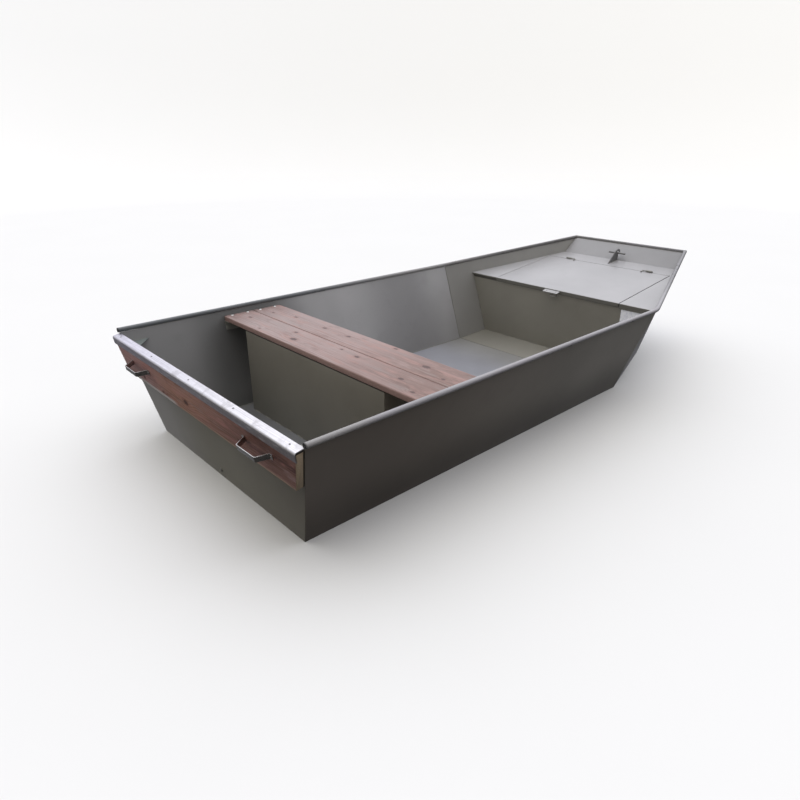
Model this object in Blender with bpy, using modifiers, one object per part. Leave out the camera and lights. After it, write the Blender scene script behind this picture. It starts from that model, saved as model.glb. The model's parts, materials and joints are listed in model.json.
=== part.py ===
"""Flat-bottomed welded aluminium punt: raked transom with a wooden board, plank bench on a
closed box, foredeck with a hinged hatch lid, mooring bitt, round gunwale tube.

Metres. +X runs to the bow, +Y to port, +Z up; z = 0 is the underside of the flat bottom.
Dimensions are written from the stern corner of the bottom; ORIGIN_X then moves the whole
boat so that the middle of its length stands over the world origin.
"""
import bpy
import bmesh
from math import atan2, cos, radians, sin, sqrt, tan
from mathutils import Matrix, Vector

for old in list(bpy.data.objects):
    bpy.data.objects.remove(old, do_unlink=True)

# ---------------------------------------------------------------- driving dimensions
ORIGIN_X = 1.39016         # middle of the overall length, from the stern corner of the bottom
SHEET = 0.0025             # hull and deck sheet
GAP = 0.0003               # between pieces that touch

BEAM = 1.400               # between the centre lines of the gunwale tubes
SIDE_HEIGHT = 0.4474       # gunwale centre line above the bottom
BOTTOM_WIDTH = 1.0870
TRANSOM_RAKE = 0.0748      # how far the gunwale overhangs the bottom at the stern
TRANSOM_TOP_Z = 0.4325
KNUCKLE_X = 1.9405         # sides turn in and bottom starts to rise
FOREFOOT = (2.3280, 0.0763)        # x, z where the bow plate starts
STEM = (2.9032, 0.3758, 0.5571)    # x, half width, z of the bow tube's centre line
TUBE_R = 0.0100
TUBE_BORE_R = 0.0080
TUBE_STERN_X = -0.0768

BOARD_THICK = 0.0285
BOARD_BOTTOM = 0.2809      # up the transom from its foot
BOARD_TOP = 0.4382
CAP_SHEET = 0.0030
CAP_GAP = 0.0010           # the cap stands off the board's face by this
CAP_FLANGE = 0.0320
CAP_HALF = 0.6905

HANDLE_Y = 0.4560          # centre of each stern handle from the middle
HANDLE_BAR = (0.0190, 0.0030)      # width, thickness of the flat bar
HANDLE_LOW = 0.3520        # lower edge, up the transom
HANDLE_HALF_GRIP, HANDLE_HALF_FOOT, HANDLE_HALF_END = 0.0540, 0.0740, 0.0900
HANDLE_REACH = 0.0406

BENCH_Z = 0.4208
PLANK_THICK = 0.0242
PLANK_HALF = 0.6765
PLANKS = (                 # name, aft edge x, fore edge x
    ("bench_plank_aft", 0.4060, 0.5583),
    ("bench_plank_fore", 0.5607, 0.7125),
)
BOX_X = (0.4048, 0.7137)
BOX_HALF = 0.4785

DECK_AFT = (2.1100, 0.3906)        # x, z of the foredeck's aft edge
DECK_SLOPE = 0.1140
DECK_LIPS = {"port": 0.0080, "starboard": 0.0270}      # depth of each side strip's folded edge
LID_HALF = 0.4120
LID_SEAMS = {"port": 0.0018, "starboard": 0.0050}
FOLD = 0.0004              # how far a folded lip stands in from the edge of its sheet
LID_BOW_X, LID_BOW_SEAM = 2.6640, 0.0028   # the hinged edge sits closer than the sides
LID_LIP, LID_SIDE_LIP = 0.0200, 0.0120
BULKHEAD_X = 2.1180
BULKHEAD_TOP = -0.0083     # below the deck's top surface
GUTTER_DEPTH, GUTTER_WIDTH = 0.0180, 0.0260

HINGE_X, HINGE_RISE = 2.6680, 0.0053
HINGES = {                 # from the middle: fixed barrel's inner and outer end, pin's inner end
    "port": (0.2510, 0.2835, 0.2172),
    "starboard": (0.2675, 0.3065, 0.2462),
}
BARREL_R, BARREL_BORE_R = 0.0050, 0.0031
PIN_R = 0.0027
PIN_LEG = 0.0230           # the pin's bent end, lying aft on the lid
TAB_REACH, TAB_DROP, TAB_HALF = 0.0280, 0.0080, 0.0490
STAPLE_Y, STAPLE_HALF, STAPLE_REACH, STAPLE_Z = -0.0100, 0.0200, 0.0220, 0.3570

GUSSET_Z, GUSSET_SHEET = 0.3945, 0.0030
GUSSET_LEGS = (0.104, 0.121)       # along the side, along the transom

# ---------------------------------------------------------------- collections and materials
scene = bpy.context.scene
boat_set = bpy.data.collections.new("aluminium_punt")
cutter_set = bpy.data.collections.new("cutters")
cutter_set.hide_render = True
for group in (boat_set, cutter_set):
    scene.collection.children.link(group)

root = bpy.data.objects.new("boat", None)
root.location = (-ORIGIN_X, 0, 0)
boat_set.objects.link(root)

PAINTS = {                 # name: linear colour, roughness, metallic
    "hull_paint": ((0.200, 0.196, 0.168), 0.50, 0.0),
    "deck_paint": ((0.230, 0.228, 0.205), 0.50, 0.0),
    "stained_wood": ((0.130, 0.062, 0.045), 0.60, 0.0),
    "bench_wood": ((0.260, 0.170, 0.140), 0.60, 0.0),
    "bare_aluminium": ((0.800, 0.790, 0.800), 0.35, 1.0),
    "stainless": ((0.600, 0.590, 0.580), 0.30, 1.0),
    "black_plastic": ((0.012, 0.012, 0.013), 0.55, 0.0),
    "grey_plastic": ((0.150, 0.148, 0.140), 0.45, 0.0),
    "white_plate": ((0.750, 0.750, 0.780), 0.45, 0.0),
}


def paint(obj, kind):
    """Gives one object its own material of the kind named."""
    colour, roughness, metallic = PAINTS[kind]
    mat = bpy.data.materials.new(f"{obj.name}_{kind}")
    mat.use_nodes = True
    bsdf = mat.node_tree.nodes["Principled BSDF"]
    bsdf.inputs["Base Color"].default_value = (*colour, 1)
    bsdf.inputs["Roughness"].default_value = roughness
    bsdf.inputs["Metallic"].default_value = metallic
    mat.diffuse_color = (*colour, 1)
    obj.data.materials.clear()
    obj.data.materials.append(mat)


def place(name, data, kind, parent=None, cutter=False):
    obj = bpy.data.objects.new(name, data)
    (cutter_set if cutter else boat_set).objects.link(obj)
    if cutter:
        obj.hide_render = True
        obj.display_type = "WIRE"
    obj.parent = parent or root
    if parent:
        obj.matrix_parent_inverse = Matrix.Translation(parent.location).inverted()
    if kind:
        paint(obj, kind)
    return obj


# ---------------------------------------------------------------- shape helpers
def halfspace_body(cuts, centre, size=1.0):
    """A cube cut down to every half-space (normal, limit): normal . x <= limit."""
    bm = bmesh.new()
    bmesh.ops.create_cube(bm, size=size)
    bmesh.ops.translate(bm, verts=bm.verts, vec=Vector(centre))
    for normal, limit in cuts:
        normal = Vector(normal)
        limit = limit / normal.length
        normal.normalize()
        bmesh.ops.bisect_plane(bm, geom=bm.verts[:] + bm.edges[:] + bm.faces[:], dist=1e-7,
                               plane_co=normal * limit, plane_no=normal, clear_outer=True)
        bmesh.ops.holes_fill(bm, edges=[e for e in bm.edges if e.is_boundary], sides=0)
    bmesh.ops.recalc_face_normals(bm, faces=bm.faces)
    return bm


def mesh_of(bm, name):
    mesh = bpy.data.meshes.new(name)
    bm.to_mesh(mesh)
    bm.free()
    return mesh


def slab(name, kind, normal, top, thick, cuts, centre, size=4.0, **where):
    """A flat sheet: its top on normal . x = top, cut to the half-spaces given."""
    normal = Vector(normal)
    sides = [(normal, top), (-normal, -(top - thick))] + list(cuts)
    return place(name, mesh_of(halfspace_body(sides, centre, size), name), kind, **where)


def block(name, kind, low, high, **where):
    """A box between two corners, from a cube primitive."""
    bm = bmesh.new()
    low, high = Vector(low), Vector(high)
    bmesh.ops.create_cube(bm, size=1, matrix=Matrix.Translation((low + high) / 2)
                          @ Matrix.Diagonal((*(high - low), 1)))
    return place(name, mesh_of(bm, name), kind, **where)


def cylinder(name, kind, start, end, radius, sides=24, cuts=(), **where):
    """A round bar from start to end, optionally trimmed by half-spaces."""
    start, end = Vector(start), Vector(end)
    bm = bmesh.new()
    turn = (end - start).to_track_quat("Z", "X").to_matrix().to_4x4()
    bmesh.ops.create_cone(bm, cap_ends=True, segments=sides, radius1=radius, radius2=radius,
                          depth=(end - start).length,
                          matrix=Matrix.Translation((start + end) / 2) @ turn)
    for normal, limit in cuts:
        normal = Vector(normal)
        limit = limit / normal.length
        normal.normalize()
        bmesh.ops.bisect_plane(bm, geom=bm.verts[:] + bm.edges[:] + bm.faces[:], dist=1e-7,
                               plane_co=normal * limit, plane_no=normal, clear_outer=True)
        bmesh.ops.holes_fill(bm, edges=[e for e in bm.edges if e.is_boundary], sides=0)
    bmesh.ops.recalc_face_normals(bm, faces=bm.faces)
    return place(name, mesh_of(bm, name), kind, **where)


def folded(name, kind, path, to_world, along, thick, bend=0.0, **where):
    """A bent strip: an open surface swept from a path of (a, b) points, given thickness."""
    bm = bmesh.new()
    first = [bm.verts.new(to_world(a, b, along[0])) for a, b in path]
    edges = [bm.edges.new(pair) for pair in zip(first, first[1:])]
    swept = bmesh.ops.extrude_edge_only(bm, edges=edges)["geom"]
    shift = Vector(to_world(*path[0], along[1])) - Vector(to_world(*path[0], along[0]))
    bmesh.ops.translate(bm, verts=[g for g in swept if isinstance(g, bmesh.types.BMVert)], vec=shift)
    obj = place(name, mesh_of(bm, name), kind, **where)
    if bend:
        mod = obj.modifiers.new("bend", "BEVEL")
        mod.width, mod.segments, mod.limit_method = bend, 4, "ANGLE"
        mod.angle_limit = radians(15)
    mod = obj.modifiers.new("sheet", "SOLIDIFY")
    mod.thickness, mod.offset, mod.use_even_offset = thick, 0.0, True
    return obj


def boolean(obj, other, operation):
    mod = obj.modifiers.new(operation.lower(), "BOOLEAN")
    mod.object, mod.operation, mod.solver = other, operation, "EXACT"


def bevel(obj, width, segments=2, angle=30):
    mod = obj.modifiers.new("edge", "BEVEL")
    mod.width, mod.segments, mod.limit_method = width, segments, "ANGLE"
    mod.angle_limit = radians(angle)


# ---------------------------------------------------------------- the hull's planes
HALF_B, HALF_T = BOTTOM_WIDTH / 2, BEAM / 2


def plane(a, b, c, inside=Vector((1.2, 0, 0.25))):
    """(outward unit normal, distance) of the plane through three points."""
    a, b, c = Vector(a), Vector(b), Vector(c)
    normal = (b - a).cross(c - a).normalized()
    if normal.dot(inside - a) > 0:
        normal.negate()
    return normal, normal.dot(a)


HULL = {
    "bottom_plate": plane((0, 0, 0), (1, 0, 0), (0, 1, 0)),
    "transom": plane((0, 0, 0), (0, 1, 0), (-TRANSOM_RAKE, 0, SIDE_HEIGHT)),
    "bow_bottom_plate": plane((KNUCKLE_X, 0, 0), (KNUCKLE_X, 1, 0), (FOREFOOT[0], 0, FOREFOOT[1])),
    "bow_plate": plane((FOREFOOT[0], 0, FOREFOOT[1]), (FOREFOOT[0], 1, FOREFOOT[1]), (STEM[0], 0, STEM[2])),
}
SIDES = (("port", 1), ("starboard", -1))
for side, s in SIDES:
    HULL[f"side_{side}"] = plane((0, s * HALF_B, 0), (1, s * HALF_B, 0), (0, s * HALF_T, SIDE_HEIGHT))
    HULL[f"bow_side_{side}"] = plane((KNUCKLE_X, s * HALF_B, 0), (KNUCKLE_X, s * HALF_T, SIDE_HEIGHT),
                                     (STEM[0], s * STEM[1], STEM[2]))


def inside_of(names, clear=SHEET + GAP):
    """Half-spaces that stay this far inside the outer faces of the plates named."""
    return [(HULL[n][0], HULL[n][1] - clear) for n in names]


def gunwale_points(s):
    return (Vector((TUBE_STERN_X, s * HALF_T, SIDE_HEIGHT)),
            Vector((KNUCKLE_X, s * HALF_T, SIDE_HEIGHT)),
            Vector((STEM[0], s * STEM[1], STEM[2])))


def below_tube(normal, start, end):
    """The half-space of a sheet that ends just under the tube between two points."""
    up = normal.cross(end - start).normalized()
    if up.z < 0:
        up.negate()
    return up, up.dot(start) - TUBE_R - GAP


rake = atan2(TRANSOM_RAKE, SIDE_HEIGHT)
UP = Vector((-sin(rake), 0, cos(rake)))        # up the transom's face
OUT = Vector((-cos(rake), 0, -sin(rake)))      # out of it, aft

tops = {"transom": [(UP, TRANSOM_TOP_Z / cos(rake))]}
for side, s in SIDES:
    stern, knuckle, stem = gunwale_points(s)
    tops[f"side_{side}"] = [below_tube(HULL[f"side_{side}"][0], stern, knuckle)]
    tops[f"bow_side_{side}"] = [below_tube(HULL[f"bow_side_{side}"][0], knuckle, stem)]
tops["bow_plate"] = [below_tube(HULL["bow_plate"][0], gunwale_points(1)[2], gunwale_points(-1)[2])]
for side, s in SIDES:      # corners of neighbouring sheets stay clear of the tube that turns past them
    tops["bow_plate"].append(tops[f"bow_side_{side}"][0])
for side, s in SIDES:
    tops[f"bow_side_{side}"].append(tops["bow_plate"][0])

for name, (normal, limit) in HULL.items():
    mitres = []
    for other, (its_normal, its_limit) in HULL.items():
        if other != name:
            apart = its_normal - normal
            mitres.append((apart, its_limit - limit - GAP / 2 * apart.length))
    slab(name, "hull_paint", normal, limit, SHEET, mitres + tops.get(name, []), (1.4, 0, 0.3))

# ---------------------------------------------------------------- gunwale tube
for side, s in SIDES:
    stern, knuckle, stem = gunwale_points(s)
    far_stem = Vector((stem.x, -stem.y, stem.z))
    runs = (               # name, start, end, next run's end (or None), previous run's start (or None)
        (f"gunwale_tube_{side}", stern, knuckle, stem, None),
        (f"bow_gunwale_{side}", knuckle, stem, far_stem, stern),
    )
    if s > 0:
        runs += (("bow_tube", stem, far_stem, Vector((knuckle.x, -knuckle.y, knuckle.z)), knuckle),)
    for name, start, end, after, before in runs:
        run = (end - start).normalized()
        cuts, low, high = [], start.copy(), end.copy()
        if after is not None:
            mitre = run + (after - end).normalized()
            cuts.append((mitre, mitre.dot(end) - GAP / 2 * mitre.length))
            high = end + run * 0.05
        if before is not None:
            mitre = run + (start - before).normalized()
            cuts.append((-mitre, -(mitre.dot(start) + GAP / 2 * mitre.length)))
            low = start - run * 0.05
        tube = cylinder(name, "hull_paint", low, high, TUBE_R, 20, cuts)
        bore = cylinder(f"{name}_bore", None, low - run * 0.02, high + run * 0.02, TUBE_BORE_R, 20, cutter=True)
        boolean(tube, bore, "DIFFERENCE")
    cylinder(f"tube_plug_{side}", "black_plastic", stern + Vector((0.0010, 0, 0)), stern + Vector((0.0200, 0, 0)),
             TUBE_BORE_R - GAP, 20)


# ---------------------------------------------------------------- transom board, cap, handles, plug
def on_transom(up, out, y):
    return UP * up + OUT * out + Vector((0, y, 0))


board = slab("transom_board", "stained_wood", OUT, GAP + BOARD_THICK, BOARD_THICK,
             [(UP, BOARD_TOP), (-UP, -BOARD_BOTTOM)] + inside_of(["side_port", "side_starboard"], 0.0015),
             (0, 0, 0.35), 2.0)
bevel(board, 0.0030)

cap_top = BOARD_TOP + GAP + CAP_SHEET / 2 + 0.0002
cap_out = 2 * GAP + BOARD_THICK + CAP_GAP + CAP_SHEET / 2
folded("transom_cap", "bare_aluminium",
       [(cap_top, -SHEET - GAP), (cap_top, cap_out), (cap_top - CAP_FLANGE, cap_out)],
       on_transom, (-CAP_HALF, CAP_HALF), CAP_SHEET, bend=0.0070)

face = 2 * GAP + BOARD_THICK + HANDLE_BAR[1] / 2
for side, s in SIDES:
    centre = s * HANDLE_Y
    half = [(face, HANDLE_HALF_END), (face, HANDLE_HALF_FOOT), (face + HANDLE_REACH, HANDLE_HALF_GRIP)]
    path = [(out, centre - y) for out, y in half] + [(out, centre + y) for out, y in reversed(half)]
    folded(f"stern_handle_{side}", "stainless", path,
           lambda out, y, up: on_transom(up, out, y),
           (HANDLE_LOW, HANDLE_LOW + HANDLE_BAR[0]), HANDLE_BAR[1], bend=0.0060)

plug_foot = on_transom(0.0358, GAP, 0.0065)
plug = cylinder("drain_plug", "grey_plastic", plug_foot, plug_foot + OUT * 0.0020, 0.0085)
knob = cylinder("drain_plug_knob", None, plug_foot + OUT * 0.0010, plug_foot + OUT * 0.0060, 0.0055, cutter=True)
boolean(plug, knob, "UNION")
drain = cylinder("transom_drain_hole", None, on_transom(0.0105, 0.01, -0.0090), on_transom(0.0105, -0.01, -0.0090),
                 0.0040, cutter=True)
boolean(bpy.data.objects["transom"], drain, "DIFFERENCE")

for side, s in SIDES:
    corner_x = -GUSSET_Z * tan(rake) + SHEET / cos(rake)
    corner_y = HALF_B + GUSSET_Z * (HALF_T - HALF_B) / SIDE_HEIGHT - SHEET
    along, across = GUSSET_LEGS
    slope = Vector((1 / along, -s / across, 0))
    slab(f"stern_gusset_{side}", "hull_paint", (0, 0, 1), GUSSET_Z, GUSSET_SHEET,
         inside_of(["transom", f"side_{side}"]) + [(slope, 1 + slope.dot(Vector((corner_x, s * corner_y, 0))))],
         (0, s * 0.6, GUSSET_Z), 0.6)

# ---------------------------------------------------------------- bench
for name, aft, fore in PLANKS:
    plank = block(name, "bench_wood", (aft, -PLANK_HALF, BENCH_Z - PLANK_THICK), (fore, PLANK_HALF, BENCH_Z))
    bevel(plank, 0.0040, 3)

plank_foot = BENCH_Z - PLANK_THICK
bm = bmesh.new()
bmesh.ops.create_cube(bm, size=1)
bmesh.ops.delete(bm, geom=[f for f in bm.faces if f.normal.z < -0.5], context="FACES_ONLY")
bmesh.ops.transform(bm, verts=bm.verts, matrix=Matrix.Translation(
    ((BOX_X[0] + BOX_X[1]) / 2, 0, (SHEET + GAP + plank_foot - GAP) / 2))
    @ Matrix.Diagonal((BOX_X[1] - BOX_X[0], 2 * BOX_HALF, plank_foot - GAP - SHEET - GAP, 1)))
box = place("bench_box", mesh_of(bm, "bench_box"), "hull_paint")
mod = box.modifiers.new("sheet", "SOLIDIFY")
mod.thickness, mod.offset, mod.use_even_offset = SHEET, -1.0, True

lean = (HALF_T - HALF_B) / SIDE_HEIGHT         # outward travel of the side for each metre up
for side, s in SIDES:
    def bracket_y(z):
        return HALF_B + z * lean - (1.5 * SHEET + GAP) / cos(atan2(lean, 1))

    top = plank_foot - GAP - SHEET / 2
    path = [(s * bracket_y(top - 0.040), top - 0.040), (s * bracket_y(top), top), (s * (bracket_y(top) - 0.040), top)]
    folded(f"bench_bracket_{side}", "hull_paint", path, lambda y, z, x: Vector((x, y, z)),
           (BOX_X[0], BOX_X[1]), SHEET)

# ---------------------------------------------------------------- foredeck
tilt = atan2(DECK_SLOPE, 1)
DECK_X = Vector((cos(tilt), 0, sin(tilt)))
DECK_UP = Vector((-sin(tilt), 0, cos(tilt)))
DECK_0 = Vector((DECK_AFT[0], 0, DECK_AFT[1]))
deck_level = DECK_UP.dot(DECK_0)


def on_deck(x, y, up):
    """A point by its world x, its y, and its height above the deck's top surface."""
    return DECK_0 + DECK_X * ((x - DECK_AFT[0]) / cos(tilt)) + DECK_UP * up + Vector((0, y, 0))


strip_bow = LID_BOW_X + LID_BOW_SEAM
for side, s in SIDES:
    seam = LID_HALF + LID_SEAMS[side]
    strip = slab(f"foredeck_strip_{side}", "deck_paint", DECK_UP, deck_level, SHEET,
                 inside_of([f"bow_side_{side}"])
                 + [((0, -s, 0), -seam), ((-1, 0, 0), -DECK_AFT[0]), ((1, 0, 0), strip_bow - GAP)],
                 (2.4, s * 0.5, 0.45), 2.0)
    lip = slab(f"foredeck_lip_{side}", None, (-1, 0, 0), -DECK_AFT[0] - FOLD, SHEET,
               inside_of([f"bow_side_{side}"], SHEET + GAP + FOLD)
               + [((0, -s, 0), -seam - FOLD), (DECK_UP, deck_level - SHEET / 2), (-DECK_UP, DECK_LIPS[side] - deck_level)],
               (2.1, s * 0.5, 0.4), 0.8, cutter=True)
    boolean(strip, lip, "UNION")
    gutter_y = seam + 0.0045
    path = [(s * gutter_y, -SHEET - GAP), (s * gutter_y, -GUTTER_DEPTH - SHEET / 2),
            (s * (gutter_y - GUTTER_WIDTH), -GUTTER_DEPTH - SHEET / 2)]
    folded(f"hatch_gutter_{side}", "hull_paint", path, lambda y, up, x: on_deck(x, y, up),
           (BULKHEAD_X + SHEET + 0.0040, 2.6350), SHEET)

slab("foredeck_strip_bow", "deck_paint", DECK_UP, deck_level, SHEET,
     inside_of(["bow_side_port", "bow_side_starboard", "bow_plate"]) + [((-1, 0, 0), -strip_bow)],
     (2.8, 0, 0.46), 2.0)
gutter_x = strip_bow + 0.0030
folded("hatch_gutter_bow", "hull_paint",
       [(gutter_x, -SHEET - GAP), (gutter_x, -GUTTER_DEPTH - SHEET / 2),
        (gutter_x - GUTTER_WIDTH, -GUTTER_DEPTH - SHEET / 2)],
       lambda x, up, y: on_deck(x, y, up), (-0.380, 0.380), SHEET)

slab("bulkhead", "hull_paint", (-1, 0, 0), -BULKHEAD_X, SHEET,
     inside_of(["bow_side_port", "bow_side_starboard", "bow_bottom_plate"])
     + [(DECK_UP, deck_level + BULKHEAD_TOP)], (2.1, 0, 0.25), 2.0)

# ---------------------------------------------------------------- hatch lid, hinges, latch
hinge_at = on_deck(HINGE_X, 0, HINGE_RISE)
hinge_axis = bpy.data.objects.new("hatch_hinge_axis", None)
hinge_axis.location = hinge_at
hinge_axis.parent = root
boat_set.objects.link(hinge_axis)

lid = slab("hatch_lid", "deck_paint", DECK_UP, deck_level, SHEET,
           [((0, 1, 0), LID_HALF), ((0, -1, 0), LID_HALF), ((-1, 0, 0), -DECK_AFT[0]), ((1, 0, 0), LID_BOW_X)],
           (2.4, 0, 0.42), 2.0, parent=hinge_axis)
lip = slab("hatch_lid_lip", None, (-1, 0, 0), -DECK_AFT[0] - FOLD, SHEET,
           [((0, 1, 0), LID_HALF - FOLD), ((0, -1, 0), LID_HALF - FOLD), (DECK_UP, deck_level - SHEET / 2),
            (-DECK_UP, LID_LIP - deck_level)], (2.1, 0, 0.38), 2.0, parent=hinge_axis, cutter=True)
boolean(lid, lip, "UNION")
for side, s in SIDES:
    flange = slab(f"hatch_lid_flange_{side}", None, (0, s, 0), LID_HALF - FOLD, SHEET,
                  [((-1, 0, 0), -DECK_AFT[0] - 0.0200), ((1, 0, 0), LID_BOW_X - 0.0300),
                   (DECK_UP, deck_level - SHEET / 2), (-DECK_UP, LID_SIDE_LIP - deck_level)],
                  (2.4, s * 0.4, 0.40), 1.0, parent=hinge_axis, cutter=True)
    boolean(lid, flange, "UNION")

tab_root = DECK_AFT[0] + FOLD - GAP - 0.0006
tab_z = DECK_AFT[1] - 0.0057
tab = folded("hatch_tab", "bare_aluminium", [(tab_root, tab_z), (tab_root - TAB_REACH, tab_z - TAB_DROP)],
             lambda x, z, y: Vector((x, y, z)), (-TAB_HALF, TAB_HALF), 0.0030, parent=hinge_axis)
for number, y in enumerate((-0.0305, 0.0305)):
    hole = cylinder(f"hatch_tab_hole_{number}", None, (tab_root - 0.0140, y, DECK_AFT[1] - 0.03),
                    (tab_root - 0.0140, y, DECK_AFT[1] + 0.02), 0.0030, 16, parent=hinge_axis, cutter=True)
    boolean(tab, hole, "DIFFERENCE")



for side, s in SIDES:
    barrel_in, barrel_out, pin_in = HINGES[side]
    inner, outer = (Vector((0, s * y, 0)) for y in (barrel_in, barrel_out))
    barrel = cylinder(f"hinge_barrel_{side}", "hull_paint", hinge_at + inner, hinge_at + outer, BARREL_R, 20)
    foot = block(f"hinge_foot_{side}", None,
                 (HINGE_X + 0.0006, min(inner.y, outer.y) + 0.0020, hinge_at.z - HINGE_RISE + 0.0012),
                 (HINGE_X + 0.0075, max(inner.y, outer.y) - 0.0020, hinge_at.z - 0.0008), cutter=True)
    boolean(barrel, foot, "UNION")
    bore = cylinder(f"hinge_bore_{side}", None, hinge_at + inner * 0.9, hinge_at + outer * 1.1, BARREL_BORE_R, 16,
                    cutter=True)
    boolean(barrel, bore, "DIFFERENCE")

    pin_line = bpy.data.curves.new(f"hinge_pin_{side}", "CURVE")
    pin_line.dimensions = "3D"
    pin_line.bevel_depth, pin_line.bevel_resolution, pin_line.use_fill_caps = PIN_R, 2, True
    rod = pin_line.splines.new("POLY")
    turn = 0.0060          # radius of the bend, in steps of 30 degrees
    down = -(HINGE_RISE - PIN_R - GAP)
    route = [on_deck(HINGE_X, s * (barrel_out - 0.0040), HINGE_RISE)]
    route += [on_deck(HINGE_X - turn * (1 - cos(radians(a))), s * (pin_in + turn * (1 - sin(radians(a)))), HINGE_RISE)
              for a in (0, 30, 60, 90)]
    route.append(on_deck(HINGE_X - PIN_LEG, s * pin_in, HINGE_RISE + down))
    rod.points.add(len(route) - 1)
    for point, at in zip(rod.points, route):
        point.co = (*at, 1)
    place(f"hinge_pin_{side}", pin_line, "hull_paint", parent=hinge_axis)

staple_line = bpy.data.curves.new("latch_staple", "CURVE")
staple_line.dimensions = "3D"
staple_line.bevel_depth, staple_line.bevel_resolution, staple_line.use_fill_caps = 0.0025, 2, True
spline = staple_line.splines.new("POLY")
shoulder = STAPLE_REACH - STAPLE_HALF
bend = [(0.0, STAPLE_HALF)]
bend += [(-shoulder - STAPLE_HALF * sin(radians(a)), STAPLE_HALF * cos(radians(a))) for a in range(0, 181, 20)]
bend.append((0.0, -STAPLE_HALF))
spline.points.add(len(bend) - 1)
for point, (x, y) in zip(spline.points, bend):
    point.co = (BULKHEAD_X - GAP + x, STAPLE_Y + y, STAPLE_Z, 1)
place("latch_staple", staple_line, "stainless")

# ---------------------------------------------------------------- mooring bitt and blank plate
fin = bpy.data.curves.new("mooring_bitt_outline", "CURVE")
fin.dimensions, fin.fill_mode, fin.extrude = "2D", "BOTH", 0.0030
outline = fin.splines.new("POLY")
FIN = (                    # x, height above the deck's top surface at that x
    (2.6960, 0.0005), (2.7560, 0.0500), (2.7680, 0.0605), (2.7820, 0.0670), (2.7960, 0.0690), (2.8090, 0.0655),
    (2.8190, 0.0570), (2.8240, 0.0460), (2.8160, 0.0430), (2.8110, 0.0510), (2.8020, 0.0570), (2.7930, 0.0580),
    (2.7860, 0.0535), (2.7905, 0.0500), (2.7985, 0.0450), (2.8020, 0.0370), (2.8030, 0.0200), (2.8010, 0.0080), (2.7930, 0.0005),
)
outline.points.add(len(FIN) - 1)
outline.use_cyclic_u = True
for point, (x, rise) in zip(outline.points, FIN):
    at = DECK_0 + DECK_X * ((x - DECK_AFT[0]) / cos(tilt))
    point.co = (x, at.z + rise, 0, 1)
holder = bpy.data.objects.new("mooring_bitt_outline", fin)
cutter_set.objects.link(holder)
holder.hide_render = True
bpy.context.view_layer.update()
fin_mesh = bpy.data.meshes.new_from_object(holder.evaluated_get(bpy.context.evaluated_depsgraph_get()))
bpy.data.objects.remove(holder, do_unlink=True)
bm = bmesh.new()
bm.from_mesh(fin_mesh)
bmesh.ops.remove_doubles(bm, verts=bm.verts, dist=0.00005)
bmesh.ops.rotate(bm, verts=bm.verts, cent=(0, 0, 0), matrix=Matrix.Rotation(radians(90), 3, "X"))
bmesh.ops.recalc_face_normals(bm, faces=bm.faces)
bitt = place("mooring_bitt", mesh_of(bm, "mooring_bitt"), "hull_paint")
crossbar = cylinder("mooring_bitt_crossbar", None, (2.7920, -0.0560, 0.5130), (2.7920, 0.0560, 0.5130), 0.0050, 16,
                    cutter=True)
boolean(bitt, crossbar, "UNION")

block("blank_plate", "white_plate", (BULKHEAD_X - GAP - 0.0010, -0.5500, 0.2850),
      (BULKHEAD_X - GAP, -0.4300, 0.3600))
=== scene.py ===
# Looks of the flat-bottomed aluminium punt: olive-grey semi-gloss paint on welded sheet,
# stained boards, a bent aluminium transom cap, steel handles, hinged foredeck hatch.
import json
import random
from math import atan2, cos, pi, radians, sin, sqrt, tan

import bmesh
import bpy
import numpy as np
from mathutils import Matrix, Vector, noise

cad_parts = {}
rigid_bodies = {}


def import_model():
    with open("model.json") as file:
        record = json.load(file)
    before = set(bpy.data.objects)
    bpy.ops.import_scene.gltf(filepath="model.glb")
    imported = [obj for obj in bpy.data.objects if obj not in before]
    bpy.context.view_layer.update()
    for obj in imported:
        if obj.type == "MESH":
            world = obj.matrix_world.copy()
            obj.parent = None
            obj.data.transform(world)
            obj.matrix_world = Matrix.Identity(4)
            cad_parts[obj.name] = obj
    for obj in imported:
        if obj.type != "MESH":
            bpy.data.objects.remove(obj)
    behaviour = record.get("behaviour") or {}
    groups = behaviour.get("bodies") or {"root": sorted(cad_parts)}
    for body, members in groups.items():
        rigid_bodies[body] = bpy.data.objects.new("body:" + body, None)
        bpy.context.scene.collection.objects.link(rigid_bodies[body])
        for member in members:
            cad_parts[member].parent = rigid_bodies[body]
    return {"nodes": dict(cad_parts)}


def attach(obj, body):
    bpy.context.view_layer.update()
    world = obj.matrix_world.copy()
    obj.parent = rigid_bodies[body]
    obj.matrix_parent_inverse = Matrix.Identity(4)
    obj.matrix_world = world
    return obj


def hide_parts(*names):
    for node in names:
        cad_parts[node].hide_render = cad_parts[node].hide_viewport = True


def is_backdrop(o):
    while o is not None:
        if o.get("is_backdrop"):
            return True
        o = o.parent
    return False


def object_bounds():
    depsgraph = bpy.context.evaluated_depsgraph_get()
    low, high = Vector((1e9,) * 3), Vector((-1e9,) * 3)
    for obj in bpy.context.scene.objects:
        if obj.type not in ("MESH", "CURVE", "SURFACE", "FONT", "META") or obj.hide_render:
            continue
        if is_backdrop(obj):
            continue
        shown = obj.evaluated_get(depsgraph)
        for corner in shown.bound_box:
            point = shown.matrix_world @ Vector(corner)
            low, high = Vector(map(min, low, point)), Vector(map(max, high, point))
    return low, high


for old in list(bpy.data.objects):
    bpy.data.objects.remove(old, do_unlink=True)

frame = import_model()
cad_low, cad_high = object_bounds()
NODES = frame["nodes"]

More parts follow.
